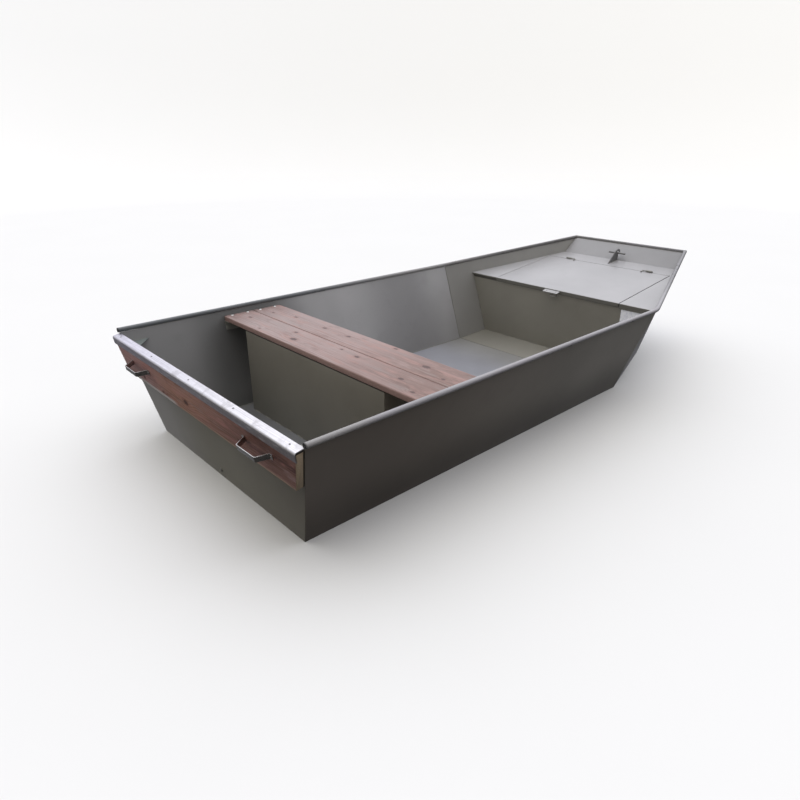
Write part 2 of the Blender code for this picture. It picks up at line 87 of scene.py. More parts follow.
# ------------------------------------------------------------------ dimensions, as in the CAD part
OX = 1.39016               # x is written from the stern corner of the bottom, then moved by this
SHEET, GAP, FOLD = 0.0025, 0.0003, 0.0004
BEAM, SIDE_HEIGHT, BOTTOM_WIDTH = 1.400, 0.4474, 1.0870
TRANSOM_RAKE, TRANSOM_TOP_Z, KNUCKLE_X = 0.0748, 0.4325, 1.9405
FOREFOOT, STEM = (2.3280, 0.0763), (2.9032, 0.3758, 0.5571)
TUBE_R, TUBE_BORE_R, TUBE_STERN_X = 0.0100, 0.0080, -0.0768
BOARD_THICK, BOARD_BOTTOM, BOARD_TOP = 0.0285, 0.2809, 0.4382
CAP_SHEET, CAP_GAP, CAP_FLANGE, CAP_HALF = 0.0030, 0.0010, 0.0320, 0.6905
HANDLE_Y, HANDLE_BAR, HANDLE_LOW = 0.4560, (0.0190, 0.0030), 0.3520
HANDLE_HALF_GRIP, HANDLE_HALF_FOOT, HANDLE_HALF_END, HANDLE_REACH = 0.0540, 0.0740, 0.0900, 0.0406
BENCH_Z, PLANK_THICK, PLANK_HALF = 0.4208, 0.0242, 0.6765
BOX_X, BOX_HALF = (0.4048, 0.7137), 0.4785
DECK_AFT, DECK_SLOPE, DECK_LIPS = (2.1100, 0.3906), 0.1140, {"port": 0.0080, "starboard": 0.0270}
LID_HALF, LID_BOW_X, LID_BOW_SEAM = 0.4120, 2.6640, 0.0028
LID_SEAMS = {"port": 0.0018, "starboard": 0.0050}
LID_LIP, LID_SIDE_LIP, BULKHEAD_X, BULKHEAD_TOP = 0.0200, 0.0120, 2.1180, -0.0083
HINGE_X, HINGE_RISE, BARREL_R, BARREL_BORE_R, PIN_R, PIN_LEG = 2.6680, 0.0053, 0.0050, 0.0031, 0.0027, 0.0230
HINGES = {"port": (0.2510, 0.2835, 0.2172), "starboard": (0.2675, 0.3065, 0.2462)}    # barrel in, out, pin in
TAB_REACH, TAB_DROP, TAB_HALF = 0.0280, 0.0080, 0.0490
STAPLE_Y, STAPLE_HALF, STAPLE_REACH, STAPLE_Z = -0.0100, 0.0200, 0.0220, 0.3570
GUSSET_Z, GUSSET_SHEET, GUSSET_LEGS = 0.3945, 0.0030, (0.104, 0.121)
HALF_B, HALF_T = BOTTOM_WIDTH / 2, BEAM / 2
SIDES = (("port", 1), ("starboard", -1))

rake = atan2(TRANSOM_RAKE, SIDE_HEIGHT)
UP = Vector((-sin(rake), 0, cos(rake)))
OUT = Vector((-cos(rake), 0, -sin(rake)))
tilt = atan2(DECK_SLOPE, 1)
DECK_X = Vector((cos(tilt), 0, sin(tilt)))
DECK_UP = Vector((-sin(tilt), 0, cos(tilt)))
DECK_0 = Vector((DECK_AFT[0], 0, DECK_AFT[1]))


def on_transom(up, out, y):
    return UP * up + OUT * out + Vector((0, y, 0))


def on_deck(x, y, up):
    return DECK_0 + DECK_X * ((x - DECK_AFT[0]) / cos(tilt)) + DECK_UP * up + Vector((0, y, 0))


def deck_z(x):
    return DECK_AFT[1] + (x - DECK_AFT[0]) * DECK_SLOPE


def plane(a, b, c, inside=Vector((1.2, 0, 0.25))):
    a, b, c = Vector(a), Vector(b), Vector(c)
    normal = (b - a).cross(c - a).normalized()
    if normal.dot(inside - a) > 0:
        normal.negate()
    return normal, normal.dot(a)


HULL = {
    "bottom": plane((0, 0, 0), (1, 0, 0), (0, 1, 0)),
    "transom": plane((0, 0, 0), (0, 1, 0), (-TRANSOM_RAKE, 0, SIDE_HEIGHT)),
    "bow_bottom": plane((KNUCKLE_X, 0, 0), (KNUCKLE_X, 1, 0), (FOREFOOT[0], 0, FOREFOOT[1])),
    "bow": plane((FOREFOOT[0], 0, FOREFOOT[1]), (FOREFOOT[0], 1, FOREFOOT[1]), (STEM[0], 0, STEM[2])),
    "bulkhead": (Vector((1, 0, 0)), BULKHEAD_X),
}
for side, s in SIDES:
    HULL[f"side_{side}"] = plane((0, s * HALF_B, 0), (1, s * HALF_B, 0), (0, s * HALF_T, SIDE_HEIGHT))
    HULL[f"bow_side_{side}"] = plane((KNUCKLE_X, s * HALF_B, 0), (KNUCKLE_X, s * HALF_T, SIDE_HEIGHT),
                                     (STEM[0], s * STEM[1], STEM[2]))


def side_y(name, x, z, clear):
    """The y of a plate's plane, set in by clear, over a point (x, z)."""
    normal, limit = HULL[name]
    return (limit - clear - normal.x * x - normal.z * z) / normal.y


def corner(*planes):
    """The point where three planes (name or (normal, limit), inset) meet."""
    rows, limits = [], []
    for which, inset in planes:
        normal, limit = HULL[which] if isinstance(which, str) else which
        rows.append(tuple(normal))
        limits.append(limit - inset)
    return Vector(np.linalg.solve(np.array(rows), np.array(limits)))


def gunwale_points(s):
    return (Vector((TUBE_STERN_X, s * HALF_T, SIDE_HEIGHT)),
            Vector((KNUCKLE_X, s * HALF_T, SIDE_HEIGHT)),
            Vector((STEM[0], s * STEM[1], STEM[2])))


# ------------------------------------------------------------------ mesh helpers
def loft(bm, rings, caps=True, close=True):
    """Quads between rings of points; the ends are closed with a fan."""
    rows = [[bm.verts.new(p) for p in ring] for ring in rings]
    count = len(rows[0])
    for low, high in zip(rows, rows[1:]):
        for k in range(count if close else count - 1):
            j = (k + 1) % count
            bm.faces.new((low[k], low[j], high[j], high[k]))
    if caps:
        for row in (rows[0], rows[-1]):
            bm.faces.new(row)
    return rows


def circle(centre, direction, radius, sides=24, across=None, cut=None):
    """A ring of points round a line; cut is the plane's normal when the end is mitred."""
    direction = direction.normalized()
    across = across or (Vector((0, 0, 1)) if abs(direction.z) < 0.9 else Vector((1, 0, 0)))
    u = (across - direction * across.dot(direction)).normalized()
    v = direction.cross(u)
    ring = []
    for k in range(sides):
        a = 2 * pi * k / sides
        offset = (u * cos(a) + v * sin(a)) * radius
        if cut is not None:
            offset = offset - direction * (offset.dot(cut) / direction.dot(cut))
        ring.append(centre + offset)
    return ring


def rod(bm, points, radius, sides=12, across=None, dome=0.5):
    """A round bar along points, with slightly domed ends; radius is one number or one a point."""
    radii = radius if isinstance(radius, (list, tuple)) else [radius] * len(points)
    rings = []
    for i, p in enumerate(points):
        before = (p - points[i - 1]).normalized() if i else None
        after = (points[i + 1] - p).normalized() if i + 1 < len(points) else None
        if before is None or after is None:
            rings.append(circle(p, before or after, radii[i], sides, across))
        else:
            rings.append(circle(p, before, radii[i], sides, across, before + after))
    if dome:
        first, last = (points[1] - points[0]).normalized(), (points[-1] - points[-2]).normalized()
        for end, d, r, place in ((points[0], -first, radii[0], 0), (points[-1], last, radii[-1], 1)):
            extra = [circle(end + d * (r * dome * h), last if place else first, r * w, sides, across)
                     for h, w in ((0.35, 0.93), (0.75, 0.66), (0.95, 0.3))]
            rings = rings + extra if place else extra[::-1] + rings
    loft(bm, rings)


def ripple(bm, start, end, radius, step=0.004, sides=8, seed=0.0, wobble=0.12):
    """A weld bead from start to end, uneven as a hand-laid one is."""
    length = (end - start).length
    count = max(3, int(length / step))
    points, radii = [], []
    for i in range(count + 1):
        t = i / count
        ends = min(1.0, (min(t, 1 - t) * length + radius * 0.4) / (radius * 1.6))
        lump = noise.noise(Vector((t * length * 90, seed * 7.3, 1.7))) * wobble
        points.append(start.lerp(end, t))
        radii.append(radius * (0.55 + 0.45 * ends) * (1 + lump + 0.05 * sin(t * length / 0.0042 * 2 * pi)))
    rod(bm, points, radii, sides)


def fillet_path(corners, radii, steps=8):
    """A polyline through 2-D corners, each inner one rounded to its radius."""
    path = [Vector(corners[0])]
    for i in range(1, len(corners) - 1):
        p, r = Vector(corners[i]), radii[i - 1]
        a, b = (Vector(corners[i - 1]) - p).normalized(), (Vector(corners[i + 1]) - p).normalized()
        half = a.angle(b) / 2
        back = r / tan(half)
        centre = p + (a + b).normalized() * (r / sin(half))
        start, end = p + a * back - centre, p + b * back - centre
        turn = start.angle_signed(end)
        for k in range(steps + 1):
            t = -turn * k / steps
            path.append(centre + Vector((start.x * cos(t) - start.y * sin(t), start.x * sin(t) + start.y * cos(t))))
    path.append(Vector(corners[-1]))
    return path


def bent_sheet(bm, corners, radii, thick, to_point, stations, steps=8):
    """Sheet of one thickness bent along a 2-D path and drawn out; to_point(a, b, t) places it."""
    path = fillet_path(corners, radii, steps)
    outer, inner = [], []
    for i, p in enumerate(path):
        before = (p - path[i - 1]).normalized() if i else None
        after = (path[i + 1] - p).normalized() if i + 1 < len(path) else None
        along = ((before or after) + (after or before)).normalized()
        normal = Vector((-along.y, along.x))
        stretch = 1 / max(0.5, along.dot(after or before))
        outer.append(p + normal * (thick / 2 * stretch))
        inner.append(p - normal * (thick / 2 * stretch))
    section = outer + inner[::-1]
    loft(bm, [[to_point(p.x, p.y, t) for p in section] for t in stations])


def head(bm, centre, up, profile, sides=20, across=None):
    """A turned head from a profile of (radius, height), standing on a surface."""
    loft(bm, [circle(centre + up * h, up, r, sides, across) for r, h in profile])


SCREW = ((1.0, -0.15), (1.0, 0.02), (0.96, 0.20), (0.80, 0.36), (0.46, 0.44), (0.40, 0.40), (0.34, 0.12), (0.05, 0.10))
DOME = ((1.0, -0.10), (1.0, 0.05), (0.95, 0.17), (0.80, 0.29), (0.55, 0.37), (0.25, 0.405), (0.04, 0.41))


def scaled(profile, radius):
    return [(r * radius, h * radius) for r, h in profile]


def prism(bm, outline, to_point, depth, holes=()):
    """A flat plate from a 2-D outline with optional round holes (centre, radius), closed."""
    def ring_at(level):
        return [bm.verts.new(to_point(x, y, level)) for x, y in outline]
    low, high = ring_at(depth[0]), ring_at(depth[1])
    bores = []
    for (hx, hy), r in holes:
        pair = []
        for level in depth:
            pair.append([bm.verts.new(to_point(hx + r * cos(2 * pi * k / 24), hy + r * sin(2 * pi * k / 24), level))
                         for k in range(24)])
        bores.append(pair)
    count = len(outline)
    for k in range(count):
        j = (k + 1) % count
        bm.faces.new((low[k], low[j], high[j], high[k]))
    for pair in bores:
        for k in range(24):
            j = (k + 1) % 24
            bm.faces.new((pair[0][j], pair[0][k], pair[1][k], pair[1][j]))
    for level, ring in enumerate((low, high)):
        if not bores:
            bm.faces.new(ring)
            continue
        edges = []
        for loop in [ring] + [pair[level] for pair in bores]:
            for k in range(len(loop)):
                edge = bm.edges.get((loop[k], loop[(k + 1) % len(loop)]))
                edges.append(edge or bm.edges.new((loop[k], loop[(k + 1) % len(loop)])))
        bmesh.ops.triangle_fill(bm, use_beauty=True, use_dissolve=False, edges=edges)


def rounded(x0, y0, x1, y1, radii, steps=8):
    """A rectangle's outline, its corners rounded: radii for (x0,y0), (x1,y0), (x1,y1), (x0,y1)."""
    points = []
    for (cx, cy, a0), r in zip(((x0, y0, 180), (x1, y0, 270), (x1, y1, 0), (x0, y1, 90)), radii):
        ox, oy = cx + (r if cx == x0 else -r), cy + (r if cy == y0 else -r)
        for k in range(steps + 1):
            a = radians(a0 + 90 * k / steps)
            points.append((ox + r * cos(a), oy + r * sin(a)))
    return points


PIECES = {}


def piece(name, bm, material, body="hull", replaces=(), smooth=35, bevel=None, keep_in=True):
    """Puts the mesh into the scene, in the row frame, riding on its body."""
    bmesh.ops.recalc_face_normals(bm, faces=bm.faces)
    for v in bm.verts:
        v.co.x -= OX
        if keep_in:
            v.co = Vector([min(max(c, lo), hi) for c, lo, hi in zip(v.co, cad_low, cad_high)])
    mesh = bpy.data.meshes.new(name)
    bm.to_mesh(mesh)
    bm.free()
    obj = bpy.data.objects.new(name, mesh)
    bpy.context.scene.collection.objects.link(obj)
    mesh.shade_smooth()
    mesh.set_sharp_from_angle(angle=radians(smooth))
    for m in material if isinstance(material, (list, tuple)) else (material,):
        mesh.materials.append(m)
    if bevel:
        mod = obj.modifiers.new("edge", "BEVEL")
        mod.width, mod.segments, mod.limit_method, mod.angle_limit = bevel, 2, "ANGLE", radians(50)
        mod.harden_normals = True
    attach(obj, body)
    if replaces:
        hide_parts(*replaces)
    PIECES[name] = obj
    return obj


# ------------------------------------------------------------------ material helpers
class Shader:
    """A small writer of shader nodes."""

    def __init__(self, name, roughness=0.5, metallic=0.0, specular=0.5):
        self.mat = bpy.data.materials.new(name)
        self.mat.use_nodes = True
        self.tree = self.mat.node_tree
        self.tree.nodes.clear()
        self.out = self.add("ShaderNodeOutputMaterial")
        self.bsdf = self.add("ShaderNodeBsdfPrincipled")
        self.bsdf.inputs["Roughness"].default_value = roughness
        self.bsdf.inputs["Metallic"].default_value = metallic
        self.bsdf.inputs["Specular IOR Level"].default_value = specular
        self.link(self.bsdf.outputs["BSDF"], self.out.inputs["Surface"])
        coordinates = self.add("ShaderNodeTexCoord")
        self.position, self.normal = coordinates.outputs["Object"], coordinates.outputs["Normal"]

    def add(self, kind):
        return self.tree.nodes.new(kind)

    def link(self, a, b):
        self.tree.links.new(a, b)

    def feed(self, socket, value):
        if isinstance(value, bpy.types.NodeSocket):
            self.link(value, socket)
        elif value is not None:
            socket.default_value = value

    def math(self, kind, a, b=None, c=None, clamp=False):
        node = self.add("ShaderNodeMath")
        node.operation, node.use_clamp = kind, clamp
        for socket, value in zip(node.inputs, (a, b, c)):
            self.feed(socket, value)
        return node.outputs[0]

    def vector(self, kind, a, b=None, scale=None):
        node = self.add("ShaderNodeVectorMath")
        node.operation = kind
        self.feed(node.inputs[0], a)
        self.feed(node.inputs[1], b)
        if scale is not None:
            self.feed(node.inputs["Scale"], scale)
        return node.outputs["Value"] if kind in ("DOT_PRODUCT", "LENGTH", "DISTANCE") else node.outputs["Vector"]

    def combine(self, x=0.0, y=0.0, z=0.0):
        node = self.add("ShaderNodeCombineXYZ")
        for socket, value in zip(node.inputs, (x, y, z)):
            self.feed(socket, value)
        return node.outputs[0]

    def parts(self, value):
        node = self.add("ShaderNodeSeparateXYZ")
        self.feed(node.inputs[0], value)
        return node.outputs

    def noise(self, at, scale, detail=3.0, rough=0.5, distortion=0.0, colour=False):
        node = self.add("ShaderNodeTexNoise")
        self.feed(node.inputs["Vector"], at)
        for key, value in (("Scale", scale), ("Detail", detail), ("Roughness", rough), ("Distortion", distortion)):
            node.inputs[key].default_value = value
        return node.outputs["Color" if colour else "Fac"]

    def spots(self, at, scale, randomness=1.0):
        node = self.add("ShaderNodeTexVoronoi")
        self.feed(node.inputs["Vector"], at)
        node.inputs["Scale"].default_value = scale
        node.inputs["Randomness"].default_value = randomness
        return node.outputs["Distance"]

    def span(self, value, low, high, to_low=0.0, to_high=1.0, smooth=True):
        node = self.add("ShaderNodeMapRange")
        node.interpolation_type = "SMOOTHSTEP" if smooth else "LINEAR"
        self.feed(node.inputs["Value"], value)
        for key, number in (("From Min", low), ("From Max", high), ("To Min", to_low), ("To Max", to_high)):
            node.inputs[key].default_value = number
        return node.outputs["Result"]

    def ramp(self, value, stops):
        node = self.add("ShaderNodeValToRGB")
        self.feed(node.inputs["Fac"], value)
        band = node.color_ramp
        while len(band.elements) < len(stops):
            band.elements.new(0.5)
        for element, (at, colour) in zip(band.elements, stops):
            element.position, element.color = at, (*colour, 1)
        return node.outputs["Color"]

    def mix(self, a, b, amount, kind="MIX"):
        node = self.add("ShaderNodeMix")
        node.data_type, node.blend_type = "RGBA", kind
        self.feed(node.inputs["Factor"], amount)
        for socket, value in ((node.inputs["A"], a), (node.inputs["B"], b)):
            pass
        for index, value in ((6, a), (7, b)):
            self.feed(node.inputs[index], (*value, 1) if isinstance(value, tuple) and len(value) == 3 else value)
        return node.outputs[2]

    def bump(self, height, strength, distance, onto=None):
        node = self.add("ShaderNodeBump")
        node.inputs["Strength"].default_value = strength
        node.inputs["Distance"].default_value = distance
        self.feed(node.inputs["Height"], height)
        if onto is not None:
            self.link(onto, node.inputs["Normal"])
        return node.outputs["Normal"]

    def finish(self, colour=None, roughness=None, normal=None):
        if colour is not None:
            self.feed(self.bsdf.inputs["Base Color"], colour)
        if roughness is not None:
            self.feed(self.bsdf.inputs["Roughness"], roughness)
        if normal is not None:
            self.link(normal, self.bsdf.inputs["Normal"])
        return self.mat


def stretched(shader, sx, sy, sz, at=None):
    return shader.vector("MULTIPLY", at or shader.position, (sx, sy, sz))


def toned(s, colour, tones):
    """The colour, multiplied along x (0), y (1) or z (2): (axis, from, to, factor from, factor to);
    a sixth number keeps it to the port (1) or starboard (-1) half."""
    for axis, low, high, at_low, at_high, *half in tones:
        shift = OX if axis == 0 else 0.0
        place = s.span(s.parts(s.position)[axis], low - shift, high - shift)
        at_low = at_low if isinstance(at_low, tuple) else (at_low,) * 3
        at_high = at_high if isinstance(at_high, tuple) else (at_high,) * 3
        factor = s.mix(at_low, at_high, place)
        if half:
            factor = s.mix((1.0, 1.0, 1.0), factor, s.math("GREATER_THAN", s.math("MULTIPLY", s.parts(s.position)[1], half[0]), 0.0))
        colour = s.vector("MULTIPLY", colour, factor)
    return colour


def paint(name, colour, roughness=0.36, dust=0.5, wave=1.0, peel=1.0, tones=(), painted_side_shade=0.0, painted_aft_shade=None, outside=0):
    """Semi-gloss sprayed paint: orange peel, slow waves of the sheet, dust, faint rubbed marks; the tones, the side
    mask and the aft mask add painted light and shade.
    """
    s = Shader(name, roughness, 0.0, 0.5)
    slow = s.noise(s.position, 2.3, 3, 0.5)
    mid = s.noise(s.position, 14, 5, 0.6)
    fine = s.noise(s.position, 420, 2, 0.5)
    darker = tuple(c * 0.90 for c in colour)
    lighter = tuple(min(1.0, c * 1.07) for c in colour)
    base = s.mix(darker, lighter, s.span(slow, 0.3, 0.7))
    base = s.mix(base, tuple(c * 0.86 for c in colour), s.math("MULTIPLY", s.span(mid, 0.50, 0.78), 0.35))
    # settled dust and dried splashes, only where the sheet faces up
    up = s.span(s.parts(s.normal)[2], 0.35, 0.95)
    film = s.math("MULTIPLY", s.span(s.noise(s.position, 6, 6, 0.65, 0.6), 0.42, 0.80), up)
    base = s.mix(base, tuple(c * 0.55 + 0.17 for c in colour), s.math("MULTIPLY", film, dust))
    grit = s.math("MULTIPLY", s.span(s.spots(s.position, 95), 0.16, 0.05), s.span(s.noise(s.position, 23, 2), 0.52, 0.66))
    base = s.mix(base, (0.34, 0.335, 0.31), s.math("MULTIPLY", grit, 0.30 * dust))
    # thin rubbed lines that run fore and aft
    marks = s.span(s.noise(stretched(s, 2.2, 120, 150), 1.0, 3, 0.55, 0.4), 0.69, 0.76)
    marks = s.math("MULTIPLY", marks, s.span(s.noise(s.position, 3.1, 2), 0.50, 0.68))
    base = s.mix(base, tuple(c * 1.35 for c in colour), s.math("MULTIPLY", marks, 0.30))
    rough = s.math("ADD", roughness - 0.05, s.math("MULTIPLY", s.noise(s.position, 9, 4, 0.6), 0.10))
    rough = s.math("ADD", rough, s.math("MULTIPLY", film, 0.16 * dust))
    rough = s.math("ADD", rough, s.math("MULTIPLY", marks, 0.10))
    normal = s.bump(slow, 0.05 * wave, 0.05)
    normal = s.bump(s.noise(s.position, 160, 2, 0.45), 0.10 * peel, 0.0006, normal)
    normal = s.bump(fine, 0.06 * peel, 0.0002, normal)
    base = toned(s, base, tones)
    # faces turned to port or starboard go near black: painted shade
    if painted_side_shade:
        sideways = s.span(s.math("ABSOLUTE", s.parts(s.normal)[1]), 0.75, 0.95)
        base = s.mix(base, tuple(c * 0.06 for c in colour), s.math("MULTIPLY", sideways, painted_side_shade))
    if outside:              # the face turned to port (1) keeps an even shade
        outward = s.span(s.math("MULTIPLY", s.parts(s.normal)[1], outside), 0.2, 0.6)
        base = s.mix(base, tuple(c * 1.3 for c in colour), outward)
    if painted_aft_shade:                # faces turned aft in a darker colour: painted shade
        facing = s.span(s.parts(s.normal)[0], -0.35, -0.85)
        base = s.mix(base, painted_aft_shade, facing)
    return s.finish(base, rough, normal)


def weld(name, colour):
    """Painted weld metal: close ripples across the bead."""
    s = Shader(name, 0.42)
    x, y, z = s.parts(s.position)
    along = s.combine(x, y, z)
    steps = s.add("ShaderNodeTexWave")
    steps.wave_type, steps.bands_direction = "BANDS", "DIAGONAL"
    s.link(along, steps.inputs["Vector"])
    for key, value in (("Scale", 42.0), ("Distortion", 3.0), ("Detail", 1.0), ("Detail Scale", 8.0)):
        steps.inputs[key].default_value = value
    mottled = s.noise(s.position, 60, 4, 0.6)
    base = s.mix(tuple(c * 0.80 for c in colour), tuple(c * 1.05 for c in colour), mottled)
    normal = s.bump(steps.outputs["Fac"], 0.35, 0.0012)
    normal = s.bump(s.noise(s.position, 300, 2), 0.15, 0.0005, normal)
    return s.finish(base, s.span(mottled, 0.2, 0.8, 0.36, 0.50), normal)


def wood(name, across, depth, origin, light, dark, knots=(), zones=(), seed=0.0, rings=0.30, faces=(), marks=(), shadow_gap=None):
    """Stained softwood sawn along y: long straight grain, fibres, knots that turn the grain.
    knots: (y, distance across the board, radius); zones: (colour, y from, y to, share);
    faces: (axis, sign, colour) for end grain and edges; marks: (y from, y to, across from, across to, colour, share)."""
    s = Shader(name, 0.50, 0.0, 0.5)
    at = s.vector("SUBTRACT", s.position, origin)
    along = s.parts(at)[1]
    v = s.vector("DOT_PRODUCT", at, tuple(across))
    w = s.vector("DOT_PRODUCT", at, tuple(depth))
    swing = s.noise(s.combine(seed, s.math("MULTIPLY", along, 0.9), seed * 2), 1.0, 2, 0.5, colour=True)
    swing_v, swing_w, _ = s.parts(swing)
    v_ring = s.math("ADD", v, s.math("MULTIPLY_ADD", swing_v, 0.050, 0.045))
    w_ring = s.math("ADD", w, s.math("MULTIPLY_ADD", swing_w, 0.030, 0.060))
    core, halo = None, None
    for ky, kv, kr in knots:
        dy = s.math("DIVIDE", s.math("SUBTRACT", along, ky), kr * 1.85)
        dv = s.math("DIVIDE", s.math("SUBTRACT", v, kv), kr * 1.10)
        ragged = s.noise(s.position, 170, 3, 0.6)
        d = s.math("SQRT", s.math("ADD", s.math("MULTIPLY", dy, dy), s.math("MULTIPLY", dv, dv)))
        d = s.math("ADD", d, s.math("MULTIPLY_ADD", ragged, 0.9, -0.45))
        here = s.span(d, 1.02, 0.66)
        near = s.math("POWER", 2.718, s.math("MULTIPLY", s.math("MULTIPLY", d, d), -0.13))
        core = here if core is None else s.math("MAXIMUM", core, here)
        halo = near if halo is None else s.math("MAXIMUM", halo, near)
    radius = s.math("SQRT", s.math("ADD", s.math("MULTIPLY", v_ring, v_ring), s.math("MULTIPLY", w_ring, w_ring)))
    if halo is not None:
        radius = s.math("ADD", radius, s.math("MULTIPLY", halo, 0.010))
    waver = s.noise(s.combine(s.math("MULTIPLY", along, 3.0), s.math("MULTIPLY", v, 60), s.math("MULTIPLY", w, 60)),
                    1.0, 4, 0.6)
    count = s.math("ADD", s.math("DIVIDE", radius, 0.0046), s.math("MULTIPLY", waver, 1.9))
    late = s.math("FRACT", count)
    late = s.math("MULTIPLY", s.span(late, 0.15, 0.85), s.span(late, 1.0, 0.88))
    fade = s.noise(s.combine(s.math("MULTIPLY", along, 2.0), s.math("MULTIPLY", v, 22), seed + 3.0), 1.0, 3, 0.55)
    late = s.math("MULTIPLY", late, s.span(fade, 0.30, 0.70, 0.25, 1.0))
    fibre = s.noise(s.combine(s.math("MULTIPLY", along, 8.0), s.math("MULTIPLY", v, 620), s.math("MULTIPLY", w, 620)), 1.0, 3, 0.65)
    streak = s.noise(s.combine(s.math("MULTIPLY", along, 2.2), s.math("MULTIPLY", v, 130), s.math("MULTIPLY", w, 90)), 1.0, 4, 0.62)
    broad = s.noise(s.combine(s.math("MULTIPLY", along, 1.6), s.math("MULTIPLY", v, 26), seed), 1.0, 3, 0.55)
    weather = s.noise(s.combine(s.math("MULTIPLY", along, 6.0), s.math("MULTIPLY", v, 14), seed + 9.0), 1.0, 5, 0.62)
    base = light
    for colour, low, high, share in zones:
        base = s.mix(base, colour, s.math("MULTIPLY", s.span(along, low, high), s.span(broad, 0.28, 0.62, share * 0.55, share)))
    base = s.mix(base, dark, s.math("MULTIPLY", late, rings), "MIX")
    base = s.mix(base, tuple(min(1.0, c * 1.25) for c in light), s.math("MULTIPLY", s.span(streak, 0.52, 0.80), 0.38))
    ruddy = s.noise(s.combine(s.math("MULTIPLY", along, 7.0), s.math("MULTIPLY", v, 34), seed + 21.0), 1.0, 4, 0.6)
    base = s.mix(base, (light[0] * 1.04, light[1] * 0.84, light[2] * 0.78), s.math("MULTIPLY", s.span(ruddy, 0.50, 0.68), 0.70))
    base = s.mix(base, (light[0] * 0.78, light[1] * 0.88, light[2] * 0.88), s.math("MULTIPLY", s.span(ruddy, 0.46, 0.30), 0.55))
    base = s.mix(base, dark, s.math("MULTIPLY", s.span(streak, 0.47, 0.26), 0.50))
    base = s.mix(base, tuple(c * 0.85 for c in dark), s.math("MULTIPLY", s.span(fibre, 0.55, 0.78), 0.42))
    base = s.mix(base, tuple(c * 0.95 for c in dark), s.math("MULTIPLY", s.span(weather, 0.52, 0.74), 0.50))
    base = s.mix(base, tuple(min(1.0, c * 1.20) for c in light), s.math("MULTIPLY", s.span(weather, 0.44, 0.26), 0.36))
    if core is not None:
        base = s.mix(base, (dark[0] * 1.45, dark[1] * 1.15, dark[2] * 1.10), s.math("MULTIPLY", s.span(halo, 0.55, 0.98), 0.40))
        base = s.mix(base, (dark[0] * 0.42, dark[1] * 0.34, dark[2] * 0.36), s.math("MULTIPLY", core, s.span(fibre, 0.3, 0.7, 0.70, 1.0)))
    for low, high, v_low, v_high, colour, share in marks:
        inside = s.math("MULTIPLY", s.span(along, low - 0.03, low + 0.03), s.span(along, high + 0.03, high - 0.03))
        inside = s.math("MULTIPLY", inside, s.math("MULTIPLY", s.span(v, v_low - 0.001, v_low + 0.0008), s.span(v, v_high + 0.0025, v_high - 0.0015)))
        inside = s.math("MULTIPLY", inside, s.span(weather, 0.34, 0.50))
        base = s.mix(base, colour, s.math("MULTIPLY", inside, share))
    for axis, sign, colour in faces:
        facing = s.span(s.math("MULTIPLY", s.parts(s.normal)[axis], sign), 0.55, 0.85)
        coarse = s.mix(tuple(c * 0.72 for c in colour), tuple(min(1.0, c * 1.25) for c in colour),
                       s.noise(stretched(s, 240, 60, 240), 1.0, 3, 0.6))
        base = s.mix(base, coarse, facing)
    if shadow_gap:                  # painted shadow where the board lies against what carries it: (depth, y of the ends, across)
        end = s.span(s.math("ABSOLUTE", along), shadow_gap[1] - 0.001, shadow_gap[1] + 0.001)
        against = s.math("MAXIMUM", s.span(w, shadow_gap[0] + 0.0012, shadow_gap[0]), s.span(v, shadow_gap[2] - 0.0012, shadow_gap[2]))
        base = s.mix(base, (0.012, 0.009, 0.008), s.math("MULTIPLY", s.math("MULTIPLY", end, against), 0.95))
    rough = s.math("ADD", 0.42, s.math("MULTIPLY", s.math("ADD", fibre, late), 0.10))
    height = s.math("ADD", s.math("MULTIPLY", late, 0.35), s.math("MULTIPLY", fibre, 0.6))
    normal = s.bump(height, 0.26, 0.0005)
    normal = s.bump(streak, 0.22, 0.0010, normal)
    return s.finish(base, rough, normal)


def metal(name, colour, roughness, grain=(3.0, 400.0, 400.0), smudge=0.5, dark=0.35, matt=0.0, tones=(), shaded_below=None):
    """Bare metal with fine brushed lines along one direction, hand marks and dull oxide."""
    s = Shader(name, roughness, 1.0, 0.5)
    lines = s.noise(stretched(s, *grain), 1.0, 3, 0.6)
    cloud = s.noise(s.position, 19, 5, 0.62, 0.7)
    spot = s.noise(s.position, 85, 4, 0.6)
    base = s.mix(tuple(c * (1 - dark) for c in colour), colour, s.span(lines, 0.30, 0.62))
    base = s.mix(base, tuple(c * 0.78 for c in colour), s.math("MULTIPLY", s.span(cloud, 0.46, 0.74), smudge))
    base = s.mix(base, tuple(min(1.0, c * 1.12) for c in colour), s.math("MULTIPLY", s.span(spot, 0.55, 0.75), smudge * 0.6))
    rough = s.math("ADD", s.span(lines, 0.2, 0.8, roughness - 0.06, roughness + 0.07),
                   s.math("MULTIPLY", s.span(cloud, 0.44, 0.72), 0.22 * smudge + matt))
    normal = s.bump(lines, 0.16, 0.0004)
    normal = s.bump(spot, 0.08, 0.0006, normal)
    base = toned(s, base, tones)
    if shaded_below:                # the part under a height gets its own tones, a painted shade, and light smears: (from z, to z, tones, smear colour)
        z_low, z_high, low_tones, smear = shaded_below
        dull = toned(s, base, low_tones)
        blot = s.noise(stretched(s, 1.0, 14.0, 60.0), 1.0, 4, 0.6)
        dull = s.mix(dull, smear, s.math("MULTIPLY", s.span(blot, 0.54, 0.70), 0.55))
        base = s.mix(dull, base, s.span(s.parts(s.position)[2], z_low, z_high))
    return s.finish(base, rough, normal)


